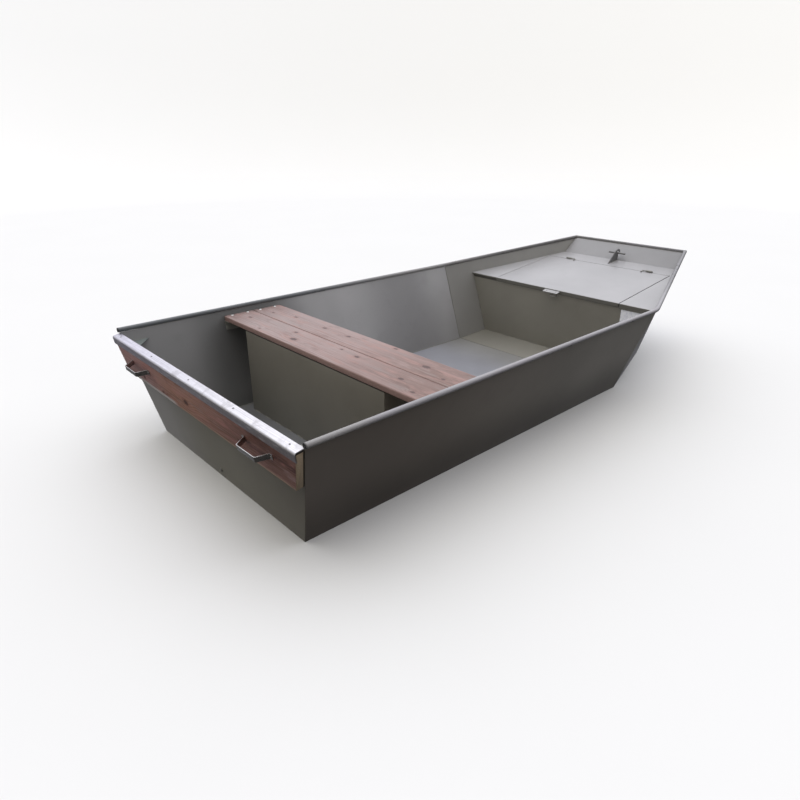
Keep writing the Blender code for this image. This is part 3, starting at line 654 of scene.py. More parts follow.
def plastic(name, colour, roughness=0.45, glow=0.0):
    s = Shader(name, roughness)
    grain = s.noise(s.position, 900, 2, 0.5)
    cloud = s.noise(s.position, 60, 4, 0.6)
    base = s.mix(tuple(c * 0.75 for c in colour), tuple(min(1.0, c * 1.25) for c in colour), cloud)
    if glow:
        s.feed(s.bsdf.inputs["Emission Color"], base)
        s.bsdf.inputs["Emission Strength"].default_value = glow
    return s.finish(base, s.span(cloud, 0.2, 0.8, roughness - 0.08, roughness + 0.10), s.bump(grain, 0.20, 0.0003))


PAINT, DECK = (0.262, 0.258, 0.236), (0.366, 0.362, 0.373)
hull_paint = paint("hull_paint_sprayed", PAINT, 0.37, 0.35)
# painted light and shade on the tube: dark stern ends, darker to the bow and on the port tube aft, a painted highlight
# on the starboard tube
tube_paint = paint("tube_paint_sprayed", (0.270, 0.262, 0.262), 0.28, 0.25,
                   tones=[(0, -0.0768, -0.0700, 0.30, 1.0), (0, 1.95, 2.45, 1.0, 0.53),
                          (0, 0.60, 1.80, (0.44, 0.49, 0.52), 1.0, 1),
                          (0, 0.10, 0.20, 1.15, (1.18, 1.18, 1.25), -1)])
# a darker colour for the faces of deck and lid turned aft: painted shade
LIP_SHADE_COLOUR = (0.140, 0.136, 0.120)
deck_paint = paint("deck_paint_sprayed", DECK, 0.34, 0.45, painted_aft_shade=LIP_SHADE_COLOUR)
# the lid's side lips are painted near black: painted shade in its seams
lid_paint = paint("lid_paint_sprayed", DECK, 0.34, 0.45, painted_side_shade=1.0, painted_aft_shade=LIP_SHADE_COLOUR)
plate_grey = paint("fixed_gutter_paint", DECK, 0.45, 0.2)
# the hull paint darkened to stand for the shade on the bitt: painted shade
bitt_shade_paint = paint("bitt_paint_shaded", (0.150, 0.148, 0.150), 0.34, 0.25)
# near black: a painted shadow in the starboard seam of the hatch
seam_shadow_paint = paint("shaded_gutter_paint", (0.030, 0.030, 0.030), 0.60, 0.10)
weld_paint = weld("painted_weld", PAINT)
# the cap's colour is graded along y and its flange below the top is darker: painted shade, with light smears
cap_metal = metal("bare_aluminium_cap", (0.660, 0.645, 0.665), 0.36, (400.0, 5.0, 400.0), 1.0, 0.26, 0.06,
                  [(1, -0.45, 0.65, 1.0, (0.93, 0.93, 1.0))],
                  (0.4130, 0.4285, [(1, -0.65, 0.30, (0.74, 0.70, 0.71), (1.10, 1.07, 1.10))], (0.90, 0.88, 0.90)))
tab_paint = paint("tab_paint_sprayed", (0.350, 0.345, 0.350), 0.32, 0.30)
steel = metal("brushed_steel", (0.60, 0.585, 0.575), 0.28, (60.0, 8.0, 500.0), 0.5, 0.35)
bolt_steel = metal("bolt_steel", (0.66, 0.65, 0.63), 0.25, (300.0, 300.0, 300.0), 0.5, 0.25)
screw_dark = metal("screw_worn_steel", (0.30, 0.295, 0.30), 0.40, (300.0, 300.0, 300.0), 0.5, 0.30)
black_plug = plastic("black_plug_plastic", (0.012, 0.012, 0.013), 0.5)
grey_plug = plastic("grey_plug_plastic", (0.17, 0.168, 0.158), 0.42)
# the plate glows faintly though it is no lamp: painted light
white_plate = plastic("white_plate_enamel", (0.80, 0.83, 0.97), 0.30, 0.12)

WOOD_LIGHT, WOOD_DARK = (0.335, 0.238, 0.222), (0.135, 0.076, 0.064)
plank_materials = {}
plank_knots = {
    "aft": [(0.1639, 0.457, 0.0120), (0.5761, 0.4883, 0.0075), (0.2350, 0.5171, 0.0075), (-0.1867, 0.5188, 0.0085),
            (-0.4698, 0.4920, 0.0080), (-0.0757, 0.5293, 0.0055), (-0.585, 0.440, 0.0065), (0.395, 0.430, 0.0050)],
    "fore": [(0.4316, 0.6480, 0.0070), (0.2006, 0.6466, 0.0080), (0.0347, 0.6505, 0.0075), (-0.2196, 0.6941, 0.0070),
             (-0.4472, 0.6418, 0.0120), (-0.575, 0.600, 0.0060), (0.570, 0.610, 0.0055)],
}
PLANKS = (("aft", 0.4060, 0.5583), ("fore", 0.5607, 0.7125))
for which, x0, x1 in PLANKS:
    middle = (x0 + x1) / 2
    plank_materials[which] = wood(
        f"bench_wood_{which}", (1, 0, 0), (0, 0, 1), (middle - OX, 0, BENCH_Z - 0.030), WOOD_LIGHT, WOOD_DARK,
        [(y, x - middle, r) for y, x, r in plank_knots[which]],
        [((0.172, 0.094, 0.070), 0.00, -0.55, 0.90 if which == "fore" else 0.80),
         ((0.30, 0.255, 0.250), 0.10, 0.46, 0.40), ((0.205, 0.128, 0.116), 0.44, 0.60, 0.60)],
        3.1 if which == "aft" else 7.7, 0.34,
        # the aft edge's colour stands for painted shade; the other two are end grain
        [(0, -1, (0.304, 0.196, 0.175)), (1, 1, (0.24, 0.18, 0.14)), (1, -1, (0.24, 0.18, 0.14))])
board_middle = (BOARD_BOTTOM + BOARD_TOP) / 2
board_origin = on_transom(board_middle, 0.0, 0) - Vector((OX, 0, 0))
half_board = (BOARD_TOP - BOARD_BOTTOM) / 2
board_wood = wood(
    "transom_board_wood", tuple(UP), tuple(OUT), tuple(board_origin), (0.510, 0.305, 0.300), (0.130, 0.052, 0.040),
    [(0.059, 0.335 - board_middle, 0.0110), (-0.335, -0.030, 0.0070), (0.455, -0.045, 0.0065),
     (-0.560, 0.010, 0.0060), (0.280, -0.055, 0.0050)],
    [((0.520, 0.262, 0.170), 0.44, 0.15, 0.85), ((0.055, 0.016, 0.012), 0.05, -0.46, 0.98)], 12.4, 0.40,
    [(1, -1, (0.440, 0.350, 0.245)), (1, 1, (0.32, 0.24, 0.18))],
    # a whitish band along the lower edge to port; a tan painted highlight along the lower edge to starboard
    [(0.17, 0.62, -half_board - 0.004, -half_board + 0.0150, (0.72, 0.68, 0.68), 0.90),
     (-0.66, 0.14, -half_board - 0.004, -half_board + 0.0080, (0.52, 0.38, 0.28), 0.80)],
    (0.0042, 0.600, half_board - 0.0052))

# ------------------------------------------------------------------ painted sheet that keeps its CAD shape
KEPT = {                   # node: width of its rounded edges
    "bottom_plate": 0.0010, "bow_bottom_plate": 0.0010, "bow_plate": 0.0010, "transom": 0.0009,
    "side_port": 0.0010, "side_starboard": 0.0010,
    "stern_gusset_port": 0.0008, "stern_gusset_starboard": 0.0008, "bench_box": 0.0011,
    "bench_bracket_port": 0.0005, "bench_bracket_starboard": 0.0005, "bulkhead": 0.0008,
    "foredeck_strip_bow": 0.0007, "hatch_gutter_port": 0.0004, "hatch_gutter_starboard": 0.0004,
    "hatch_gutter_bow": 0.0004,
}
PAINTED_LIGHT_TONES = {                  # painted light and shade over each sheet: lighter or darker where more or less light falls on it
    "side_port": [(0, 0.18, 0.36, (0.79, 0.80, 0.87), (0.52, 0.53, 0.57)), (0, 0.60, 0.95, 1.0, (2.82, 2.78, 2.86)),
                  (0, 1.10, 1.50, 1.0, 0.65), (0, 1.60, 1.90, 1.0, 1.50)],
    "bottom_plate": [(0, 0.30, 0.90, (0.66, 0.68, 0.77), (1.00, 1.03, 1.25)), (0, 1.60, 1.95, 1.0, (1.06, 1.03, 0.90))],
    "bow_bottom_plate": [(0, 1.9, 2.1, (1.04, 1.02, 0.98), (1.04, 1.02, 0.98))],
    # bench box: darker towards the floor, and a painted shadow line under the planks
    "bench_box": [(2, 0.04, 0.34, (0.70, 0.68, 0.64), (0.90, 0.85, 0.78)), (2, 0.3930, 0.3948, 1.0, 0.10)],
    "transom": [(1, -0.60, 0.0, (0.70, 0.65, 0.58), (0.96, 0.92, 0.82)), (1, 0.0, 0.50, 1.0, (1.46, 1.52, 1.85))],
    "side_starboard": [(0, 0.20, 1.85, (0.82, 0.73, 0.70), (1.40, 1.37, 1.39)), (2, 0.02, 0.27, 0.58, 1.0)],
    # starboard bow side: lightened, a painted highlight
    "bow_side_starboard": [(0, 1.95, 2.90, (2.10, 2.12, 2.38), (1.45, 1.46, 1.62))],
    "bow_side_port": [(0, 1.95, 2.40, (1.15, 1.15, 1.20), (1.15, 1.15, 1.20))],
    "stern_gusset_port": [(1, 0.3, 0.4, (0.50, 0.59, 0.62), (0.50, 0.59, 0.62))],
    # bulkhead: lighter to port, and a painted shadow under the deck's lip
    "bulkhead": [(1, -0.20, 0.50, (0.92, 0.89, 0.83), (1.18, 1.15, 1.10)), (2, 0.3640, 0.3690, 1.0, 0.30)],
    "bow_plate": [(0, 2.3, 2.9, (1.12, 1.13, 1.28), (1.12, 1.13, 1.28))],
}
# the starboard gutter gets the near-black painted shadow
KEPT_PAINT = {"foredeck_strip_bow": deck_paint, "hatch_gutter_starboard": seam_shadow_paint, "hatch_gutter_port": deck_paint,
              "hatch_gutter_bow": deck_paint}
for name, width in KEPT.items():
    node = NODES[name]
    mod = node.modifiers.new("join", "WELD")
    mod.merge_threshold = 0.00002
    mod = node.modifiers.new("edge", "BEVEL")
    mod.width, mod.segments, mod.limit_method, mod.angle_limit = width, 3, "ANGLE", radians(20)
    mod.use_clamp_overlap = True
    material = KEPT_PAINT.get(name, hull_paint)
    if name in PAINTED_LIGHT_TONES:
        material = paint(f"paint_{name}", PAINT, 0.37, 0.35, tones=PAINTED_LIGHT_TONES[name], outside=int(name == "side_port"))
    if not node.material_slots:
        node.data.materials.append(material)
    for slot in node.material_slots:
        slot.material = material

# ------------------------------------------------------------------ welded seams of the hull
Z_TOP = (Vector((0, 0, 1)), SIDE_HEIGHT - 0.0105)
BOW_TOP = (Vector((-0.114, 0, 1)).normalized(), 0.0)
under_tube = {}
for side, s in SIDES:
    stern, knuckle, stem = gunwale_points(s)
    up = HULL[f"bow_side_{side}"][0].cross(stem - knuckle).normalized()
    up = up if up.z > 0 else -up
    under_tube[side] = (up, up.dot(knuckle) - TUBE_R - 0.0006)

seams = [("transom", "bottom", "side_port", "side_starboard", 1),
         ("bottom", "bow_bottom", "bow_side_port", "bow_side_starboard", 0),
         ("bow_bottom", "bow", "bow_side_port", "bow_side_starboard", 1)]
for side, s in SIDES:
    seams += [("bottom", f"side_{side}", "transom", f"bow_side_{side}", 1),
              ("transom", f"side_{side}", "bottom", Z_TOP, 1),
              (f"side_{side}", f"bow_side_{side}", "bottom", under_tube[side], 0),
              ("bow_bottom", f"bow_side_{side}", "bottom", "bow", 1),
              ("bow", f"bow_side_{side}", "bow_bottom", under_tube[side], 1)]

FOOT_HALF = 0.4550         # the bow sides are twisted outward to this half width at the forefoot


def twisted_foot(s):
    return Vector((FOREFOOT[0], s * FOOT_HALF, FOREFOOT[1]))


for side, s in SIDES:
    name = f"bow_side_{side}"
    knuckle_foot = corner((f"side_{side}", 0.0001), (name, 0.0001), ("bow_bottom", 0.0001))
    knuckle_top = corner((f"side_{side}", 0.0001), (name, 0.0001), (under_tube[side], 0.0))
    stem_top = corner(("bow", 0.0001), (name, 0.0001), (under_tube[side], 0.0))
    columns, rows_up = 28, 12
    bm = bmesh.new()
    grids = []
    for inward in (0.0, SHEET):
        grid = []
        for i in range(columns + 1):
            u = i / columns
            low_point, high_point = knuckle_foot.lerp(twisted_foot(s), u), knuckle_top.lerp(stem_top, u)
            line_up = []
            for j in range(rows_up + 1):
                v = j / rows_up
                point = low_point.lerp(high_point, v)
                if inward:
                    point = Vector((point.x, side_y(name, point.x, point.z, SHEET), point.z))
                line_up.append(bm.verts.new(point))
            grid.append(line_up)
        grids.append(grid)
    for skin, grid in enumerate(grids):
        for i in range(columns):
            for j in range(rows_up):
                face = bm.faces.new((grid[i][j], grid[i + 1][j], grid[i + 1][j + 1], grid[i][j + 1]))
                face.material_index = skin
    skin_out, skin_in = grids
    for i in range(columns):
        for j in (0, rows_up):
            bm.faces.new((skin_out[i][j], skin_out[i + 1][j], skin_in[i + 1][j], skin_in[i][j]))
    for j in range(rows_up):
        for i in (0, columns):
            bm.faces.new((skin_out[i][j], skin_out[i][j + 1], skin_in[i][j + 1], skin_in[i][j]))
    # painted light and shade on the bow sides; the starboard inner face darker towards the bow
    inside = [(0, 1.95, 2.90, (1.04, 1.03, 1.08), (0.70, 0.70, 0.75))] if s < 0 else PAINTED_LIGHT_TONES[name]
    piece(f"twisted_bow_side_{side}", bm,
          (paint(f"paint_bow_side_{side}", PAINT, 0.24, 0.20, tones=PAINTED_LIGHT_TONES[name]),
           paint(f"paint_bow_side_{side}_inside", PAINT, 0.37, 0.35, tones=inside)),
          replaces=[name], smooth=25, bevel=0.0008)

outer, inner = bmesh.new(), bmesh.new()
for count, (a, b, c, d, sharp) in enumerate(seams):
    r = 0.0020
    ends = [corner((a, r), (b, r), (e, r if isinstance(e, str) else 0.002)) for e in (c, d)]
    if a in ("bow_bottom", "bow") and b.startswith("bow_side"):     # these follow the twist of the bow side
        foot = twisted_foot(1 if b.endswith("port") else -1) + Vector((-r, -r * 0.9 * (1 if b.endswith("port") else -1), r * 0.9))
        ends[1 if a == "bow_bottom" else 0] = foot
    rod(outer, [ends[0].lerp(ends[1], t / 40) for t in range(41)], r, 12)
    inset = SHEET + (0.0010 if sharp else 0.0002)
    ends = [corner((a, inset), (b, inset), (e, inset if isinstance(e, str) else 0.004)) for e in (c, d)]
    ripple(inner, ends[0], ends[1], 0.0030 if sharp else 0.0026, 0.0034, 8, count)
piece("hull_corner_seams", outer, hull_paint, smooth=60)

# bulkhead to the hull, bench box to the floor, gussets to transom and side, brackets to the side
for side, s in SIDES:
    a = corner(("bulkhead", 0.0008), (f"bow_side_{side}", SHEET + 0.0008), ("bow_bottom", SHEET + 0.001))
    b = Vector((BULKHEAD_X - 0.0008, 0, deck_z(BULKHEAD_X) - 0.013))
    b.y = side_y(f"bow_side_{side}", b.x, b.z, SHEET + 0.0008)
    for k in range(6):      # stitched
        t = (k + 0.25) / 6
        ripple(inner, a.lerp(b, t), a.lerp(b, t + 0.10), 0.0026, 0.003, 8, 20 + k)
    gz = GUSSET_Z - GUSSET_SHEET / 2
    inner_x = -gz * tan(rake) + SHEET / cos(rake)
    inner_y = s * (HALF_B + gz * (HALF_T - HALF_B) / SIDE_HEIGHT - SHEET - 0.0004)
    for dz in (GUSSET_SHEET / 2 + 0.0004, -GUSSET_SHEET / 2 - 0.0004):
        z = gz + dz
        y_here = s * (HALF_B + z * (HALF_T - HALF_B) / SIDE_HEIGHT - SHEET - 0.0002)
        x_here = -z * tan(rake) + SHEET / cos(rake)
        ripple(inner, Vector((x_here + 0.006, y_here, z)), Vector((x_here + 0.090, y_here, z)), 0.0019, 0.003, 8, 30 + s)
        ripple(inner, Vector((x_here + 0.0002, y_here - s * 0.008, z)),
               Vector((x_here + 0.0002, y_here - s * 0.106, z)), 0.0019, 0.003, 8, 33 + s)
    zb = BENCH_Z - PLANK_THICK - 0.0415
    yb = s * (HALF_B + zb * (HALF_T - HALF_B) / SIDE_HEIGHT - SHEET - 0.0008)
    for k in range(3):
        x = BOX_X[0] + 0.02 + k * 0.115
        ripple(inner, Vector((x, yb, zb)), Vector((x + 0.045, yb, zb)), 0.0022, 0.003, 8, 40 + k + s)
a = corner(("bulkhead", 0.0008), ("bow_bottom", SHEET + 0.0008), ("bow_side_port", SHEET + 0.002))
b = corner(("bulkhead", 0.0008), ("bow_bottom", SHEET + 0.0008), ("bow_side_starboard", SHEET + 0.002))
for k in range(9):
    t = (k + 0.3) / 9
    ripple(inner, a.lerp(b, t), a.lerp(b, t + 0.055), 0.0026, 0.003, 8, 50 + k)
foot = SHEET + 0.0006
x0, x1, h = BOX_X[0] - 0.0004, BOX_X[1] + 0.0004, BOX_HALF + 0.0004
for (ax, ay), (bx, by), n in (((x0, -h), (x0, h), 11), ((x1, -h), (x1, h), 11), ((x0, h), (x1, h), 4), ((x0, -h), (x1, -h), 4)):
    for k in range(n):
        p, q = Vector((ax, ay, foot)), Vector((bx, by, foot))
        t = (k + 0.22) / n
        ripple(inner, p.lerp(q, t), p.lerp(q, t + 0.5 / n), 0.0024, 0.003, 8, 70 + k + n)
piece("weld_beads", inner, weld_paint, smooth=60)

# ------------------------------------------------------------------ gunwale tube
bm = bmesh.new()
port, starboard = gunwale_points(1), gunwale_points(-1)
line = [port[0], port[1], port[2], starboard[2], starboard[1], starboard[0]]
first, last = (line[1] - line[0]).normalized(), (line[-1] - line[-2]).normalized()
MOUTH = ((0.0235, 0.0080), (0.0004, 0.0080), (0.0001, 0.0083), (0.0, 0.0096), (0.0002, 0.0099))
SIDES_ROUND = 32
rings = [circle(line[0] + first * d, first, r, SIDES_ROUND) for d, r in MOUTH]
for i, p in enumerate(line):
    if 0 < i < len(line) - 1:
        before, after = (p - line[i - 1]).normalized(), (line[i + 1] - p).normalized()
        gentle = i in (1, 4)
        reach = 0.030 if gentle else 0.0
        if gentle:          # the tube is bent here
            for k in range(9):
                t = k / 8
                a, b = p - before * reach, p + after * reach
                at = a.lerp(p, t).lerp(p.lerp(b, t), t)
                d = before.lerp(after, t).normalized()
                rings.append(circle(at, d, TUBE_R, SIDES_ROUND))
        else:               # and mitred here
            rings.append(circle(p - before * 0.030, before, TUBE_R, SIDES_ROUND))
            rings.append(circle(p, before, TUBE_R, SIDES_ROUND, None, before + after))
            rings.append(circle(p + after * 0.030, after, TUBE_R, SIDES_ROUND))
    elif i == 0:
        rings.append(circle(p + first * 0.0008, first, TUBE_R, SIDES_ROUND))
        rings.append(circle(p + first * 0.1, first, TUBE_R, SIDES_ROUND))
    else:
        rings.append(circle(p - last * 0.1, last, TUBE_R, SIDES_ROUND))
        rings.append(circle(p - last * 0.0008, last, TUBE_R, SIDES_ROUND))
rings += [circle(line[-1] - last * d, last, r, SIDES_ROUND) for d, r in reversed(MOUTH)]
loft(bm, rings)
piece("gunwale_tube", bm, tube_paint, smooth=28,
      replaces=["gunwale_tube_port", "gunwale_tube_starboard", "bow_gunwale_port", "bow_gunwale_starboard", "bow_tube"])

bm = bmesh.new()           # weld rings round the mitres, and the weld of the tube to the plates' top edges
for i in (2, 3):
    before, after = (line[i] - line[i - 1]).normalized(), (line[i + 1] - line[i]).normalized()
    ring = circle(line[i], before, TUBE_R - 0.0004, 48, None, before + after)
    points = ring + ring[:1]
    radii = [0.0013 * (1 + 0.15 * noise.noise(Vector((k * 0.9, i, 0)))) for k in range(len(points))]
    rod(bm, points, radii, 8, dome=0)
for side, s in SIDES:
    stern, knuckle, stem = gunwale_points(s)
    for name, a, b in ((f"side_{side}", stern, knuckle), (f"bow_side_{side}", knuckle, stem)):
        normal = HULL[name][0]
        up = normal.cross(b - a).normalized()
        up = up if up.z > 0 else -up
        for face in (0.0006, SHEET - 0.0006):
            p = a - up * (TUBE_R + 0.0001) - normal * face
            q = b - up * (TUBE_R + 0.0001) - normal * face
            along = (q - p).normalized()
            ripple(bm, p + along * (0.085 if a is stern else 0.004), q - along * 0.004, 0.0014, 0.006, 6, 90 + s + face)
normal = HULL["bow"][0]
up = normal.cross(Vector((0, 1, 0))).normalized()
up = up if up.z > 0 else -up
for face in (0.0006, SHEET - 0.0006):
    p = Vector((STEM[0], STEM[1] - 0.006, STEM[2])) - up * (TUBE_R + 0.0001) - normal * face
    ripple(bm, p, Vector((p.x, -p.y, p.z)), 0.0014, 0.006, 6, 97)
piece("gunwale_welds", bm, weld_paint, smooth=60)

for side, s in SIDES:
    bm = bmesh.new()
    start = gunwale_points(s)[0]
    profile = ((0.0077, 0.0200), (0.0077, 0.0022), (0.0074, 0.0014), (0.0062, 0.0008), (0.0040, 0.0005), (0.0014, 0.0004))
    loft(bm, [circle(start + Vector((d, 0, 0)), Vector((1, 0, 0)), r, 28) for r, d in profile])
    piece(f"plug_in_tube_{side}", bm, black_plug, replaces=[f"tube_plug_{side}"])

# ------------------------------------------------------------------ transom board
def rounded_section(a0, b0, a1, b1, r, steps=4):
    return rounded(a0, b0, a1, b1, (r, r, r, r), steps)


bm = bmesh.new()
section = rounded_section(BOARD_BOTTOM, GAP, BOARD_TOP, GAP + BOARD_THICK, 0.0030)
mid_up = (BOARD_BOTTOM + BOARD_TOP) / 2
stations = 48
rings = []
for k in range(-1, stations + 2):
    t = min(max(k / stations, 0), 1)
    shrink = 0.0012 if k in (-1, stations + 1) else 0.0
    ring = []
    for up_, out_ in section:
        mu = up_ - (up_ - mid_up) / abs(up_ - mid_up) * shrink if shrink else up_
        mo = out_ + (GAP + BOARD_THICK / 2 - out_) * (shrink / 0.014) if shrink else out_
        base = on_transom(mu, mo, 0)
        edge = abs(side_y("side_port", base.x, base.z, 0.0015)) - 0.0001
        trim = 0.0 if shrink else (0.0012 if k in (0, stations) else 0.0)
        y = -edge + trim + (2 * edge - 2 * trim) * t
        wander = 0.00012 * noise.noise(Vector((y * 6, up_ * 40, out_ * 60)))
        ring.append(on_transom(mu, mo + wander, y))
    rings.append(ring)
loft(bm, rings)
piece("stained_transom_board", bm, board_wood, replaces=["transom_board"], smooth=40)

# ------------------------------------------------------------------ transom cap with its screws
cap_top = BOARD_TOP + GAP + CAP_SHEET / 2 + 0.0002
cap_out = 2 * GAP + BOARD_THICK + CAP_GAP + CAP_SHEET / 2
bm = bmesh.new()


def cap_point(out, up, t):
    y = -CAP_HALF + 2 * CAP_HALF * t
    dent = 0.00018 * noise.noise(Vector((y * 9, up * 30, 4.0)))
    return on_transom(up + dent * 0.6, out + dent, y)


bent_sheet(bm, [(-SHEET - GAP, cap_top), (cap_out, cap_top), (cap_out, cap_top - CAP_FLANGE)], [0.0072], CAP_SHEET,
           cap_point, [k / 60 for k in range(61)], 10)
piece("bent_transom_cap", bm, cap_metal, replaces=["transom_cap"], smooth=30, bevel=0.0004)

bm = bmesh.new()
for y in (-0.640, -0.320, 0.0, 0.320, 0.640):
    head(bm, on_transom(cap_top + CAP_SHEET / 2, 0.0130, y), UP, scaled(SCREW, 0.0034), 18)
piece("cap_screws", bm, screw_dark)

# ------------------------------------------------------------------ stern handles
face = 2 * GAP + BOARD_THICK + HANDLE_BAR[1] / 2
for side, s in SIDES:
    centre = s * HANDLE_Y
    half = [(HANDLE_HALF_END, face), (HANDLE_HALF_FOOT, face), (HANDLE_HALF_GRIP, face + HANDLE_REACH)]
    corners = [(-y, out) for y, out in half] + [(y, out) for y, out in reversed(half)]
    bm = bmesh.new()
    bent_sheet(bm, corners, [0.0045, 0.0075, 0.0075, 0.0045], HANDLE_BAR[1],
               lambda y, out, t: on_transom(HANDLE_LOW + HANDLE_BAR[0] * t, out, centre + y),
               [0, 0.03, 0.97, 1], 8)
    for y in (-0.0825, 0.0825):
        head(bm, on_transom(HANDLE_LOW + HANDLE_BAR[0] / 2, face + HANDLE_BAR[1] / 2, centre + y), OUT,
             scaled(SCREW, 0.0036), 18)
    piece(f"bent_stern_handle_{side}", bm, steel, replaces=[f"stern_handle_{side}"], smooth=30,
          bevel=0.0005)

# ------------------------------------------------------------------ drain plug
bm = bmesh.new()
at = on_transom(0.0358, GAP, 0.0065)
head(bm, at, OUT, ((0.0085, 0.0), (0.0085, 0.0012), (0.0081, 0.0018), (0.0072, 0.0021), (0.0060, 0.0022),
                   (0.0057, 0.0034), (0.0053, 0.0046), (0.0042, 0.0056), (0.0026, 0.0060), (0.0024, 0.0053), (0.0004, 0.0052)), 28)
piece("domed_drain_plug", bm, grey_plug, replaces=["drain_plug"])

# ------------------------------------------------------------------ bench planks and bolts
for which, x0, x1 in PLANKS:
    bm = bmesh.new()
    low = BENCH_Z - PLANK_THICK
    section = rounded(x0, low, x1, BENCH_Z, (0.0030, 0.0030, 0.0046, 0.0046), 5)
    middle = (x0 + x1) / 2
    rings = []
    ys = [-PLANK_HALF, -PLANK_HALF + 0.0004, -PLANK_HALF + 0.0014]
    ys += [-PLANK_HALF + 0.0014 + (2 * PLANK_HALF - 0.0028) * k / 54 for k in range(1, 54)]
    ys += [PLANK_HALF - 0.0014, PLANK_HALF - 0.0004, PLANK_HALF]
    for i, y in enumerate(ys):
        shrink = {0: 0.0014, 1: 0.0005, len(ys) - 1: 0.0014, len(ys) - 2: 0.0005}.get(i, 0.0)
        ring = []
        for x, z in section:
            bow = -0.0004 * ((x - middle) / 0.076) ** 2
            wander = 0.00022 * noise.noise(Vector((x * 45, y * 5, z * 20 + (3 if which == "aft" else 9))))
            px = x - shrink * (1 if x > middle else -1)
            pz = z - shrink * (1 if z > BENCH_Z - PLANK_THICK / 2 else -1) + (bow + wander if z > BENCH_Z - 0.008 else 0)
            ring.append(Vector((px, y, min(pz, BENCH_Z))))
        rings.append(ring)
    loft(bm, rings)
    piece(f"bench_board_{which}", bm, plank_materials[which], replaces=[f"bench_plank_{which}"], smooth=40)

bm = bmesh.new()
for x in (0.4400, 0.5215, 0.5915, 0.6740):
    for s in (1, -1):
        head(bm, Vector((x, s * 0.6625, BENCH_Z - 0.0003)), Vector((0, 0, 1)), scaled(DOME, 0.0078), 24)
piece("bench_bolts", bm, bolt_steel)

# ------------------------------------------------------------------ foredeck side strips
strip_bow = LID_BOW_X + LID_BOW_SEAM
for side, s in SIDES:
    name = f"bow_side_{side}"
    bm = bmesh.new()
    x_lip = DECK_AFT[0] + SHEET / 2
    drop = SHEET / 2 / cos(tilt)
    corners = [(x_lip, DECK_AFT[1] - DECK_LIPS[side]), (x_lip, deck_z(x_lip) - drop), (strip_bow - GAP, deck_z(strip_bow - GAP) - drop)]

    def strip_point(x, z, t):
        edge = side_y(name, x, z, SHEET + 0.0004)
        return Vector((x, s * (LID_HALF + LID_SEAMS[side]) * (1 - t) + edge * t, z))

    bent_sheet(bm, corners, [0.0030], SHEET, strip_point, [0, 0.02, 0.5, 0.98, 1], 8)
    piece(f"foredeck_side_{side}", bm, deck_paint, replaces=[f"foredeck_strip_{side}"], smooth=30,
          bevel=0.0004)

# ------------------------------------------------------------------ hatch lid: one sheet, three folded edges
bm = bmesh.new()
bend = 0.0032
lip_path = fillet_path([(DECK_AFT[0], DECK_AFT[1] - LID_LIP), (DECK_AFT[0], deck_z(DECK_AFT[0])),
                        (2.130, deck_z(2.130))], [bend], 7)
edge, fold = LID_HALF, LID_HALF - bend
columns = [-edge, -fold, -0.2, 0.0, 0.2, fold, edge]


def skin(rows):
    verts = [[bm.verts.new(p) for p in row] for row in rows]
    for low, high in zip(verts, verts[1:]):
        for k in range(len(low) - 1):
            bm.faces.new((low[k], high[k], high[k + 1], low[k + 1]))


skin([[Vector((p.x, y, p.y)) for y in columns] for p in lip_path])
skin([[Vector((x, y, deck_z(x))) for y in columns[1:-1]] for x in (2.130, 2.30, 2.48, 2.634)])
skin([[Vector((x, y, deck_z(x))) for y in columns] for x in (2.634, LID_BOW_X)])
for s in (1, -1):
    arc = [(fold + bend * sin(radians(a)), -bend * (1 - cos(radians(a)))) for a in (0, 15, 30, 45, 60, 75, 90)]
    arc.append((edge, -LID_SIDE_LIP))
    skin([[Vector((x, s * y, deck_z(x) + dz)) for y, dz in arc] for x in (2.130, 2.30, 2.48, 2.634)])
bmesh.ops.remove_doubles(bm, verts=bm.verts, dist=0.00001)
bmesh.ops.recalc_face_normals(bm, faces=bm.faces)
top = max(bm.faces, key=lambda f: f.calc_area())
if top.normal.z < 0:
    bmesh.ops.reverse_faces(bm, faces=bm.faces)
lid_mesh = bpy.data.meshes.new("hatch_lid_skin")
bm.to_mesh(lid_mesh)
bm.free()
holder = bpy.data.objects.new("lid_holder", lid_mesh)
bpy.context.scene.collection.objects.link(holder)
mod = holder.modifiers.new("thick", "SOLIDIFY")
mod.thickness, mod.offset, mod.use_even_offset = SHEET, -1.0, True
bpy.context.view_layer.update()
thick_mesh = bpy.data.meshes.new_from_object(holder.evaluated_get(bpy.context.evaluated_depsgraph_get()))
bpy.data.objects.remove(holder, do_unlink=True)
bm = bmesh.new()
bm.from_mesh(thick_mesh)
piece("folded_hatch_lid", bm, lid_paint, "hatch", ["hatch_lid"], 30, 0.0004)

# ------------------------------------------------------------------ hatch tab
bm = bmesh.new()
tab_root, tab_z = DECK_AFT[0] + FOLD - GAP - 0.0006, DECK_AFT[1] - 0.0057
slope = Vector((-TAB_REACH, 0, -TAB_DROP)).normalized()
rise = Vector((-slope.z, 0, slope.x))
rise = rise if rise.z > 0 else -rise
reach = sqrt(TAB_REACH ** 2 + TAB_DROP ** 2)
prism(bm, rounded(0, -TAB_HALF, reach, TAB_HALF, (0.0006, 0.0085, 0.0030, 0.0006), 8),
      lambda x, y, z: Vector((tab_root, y, tab_z)) + slope * x + rise * z, (-0.0015, 0.0015),
      [((0.0140 / TAB_REACH * reach, y), 0.0030) for y in (-0.0305, 0.0305)])
piece("drilled_hatch_tab", bm, tab_paint, "hatch", ["hatch_tab"], 30, 0.0005)

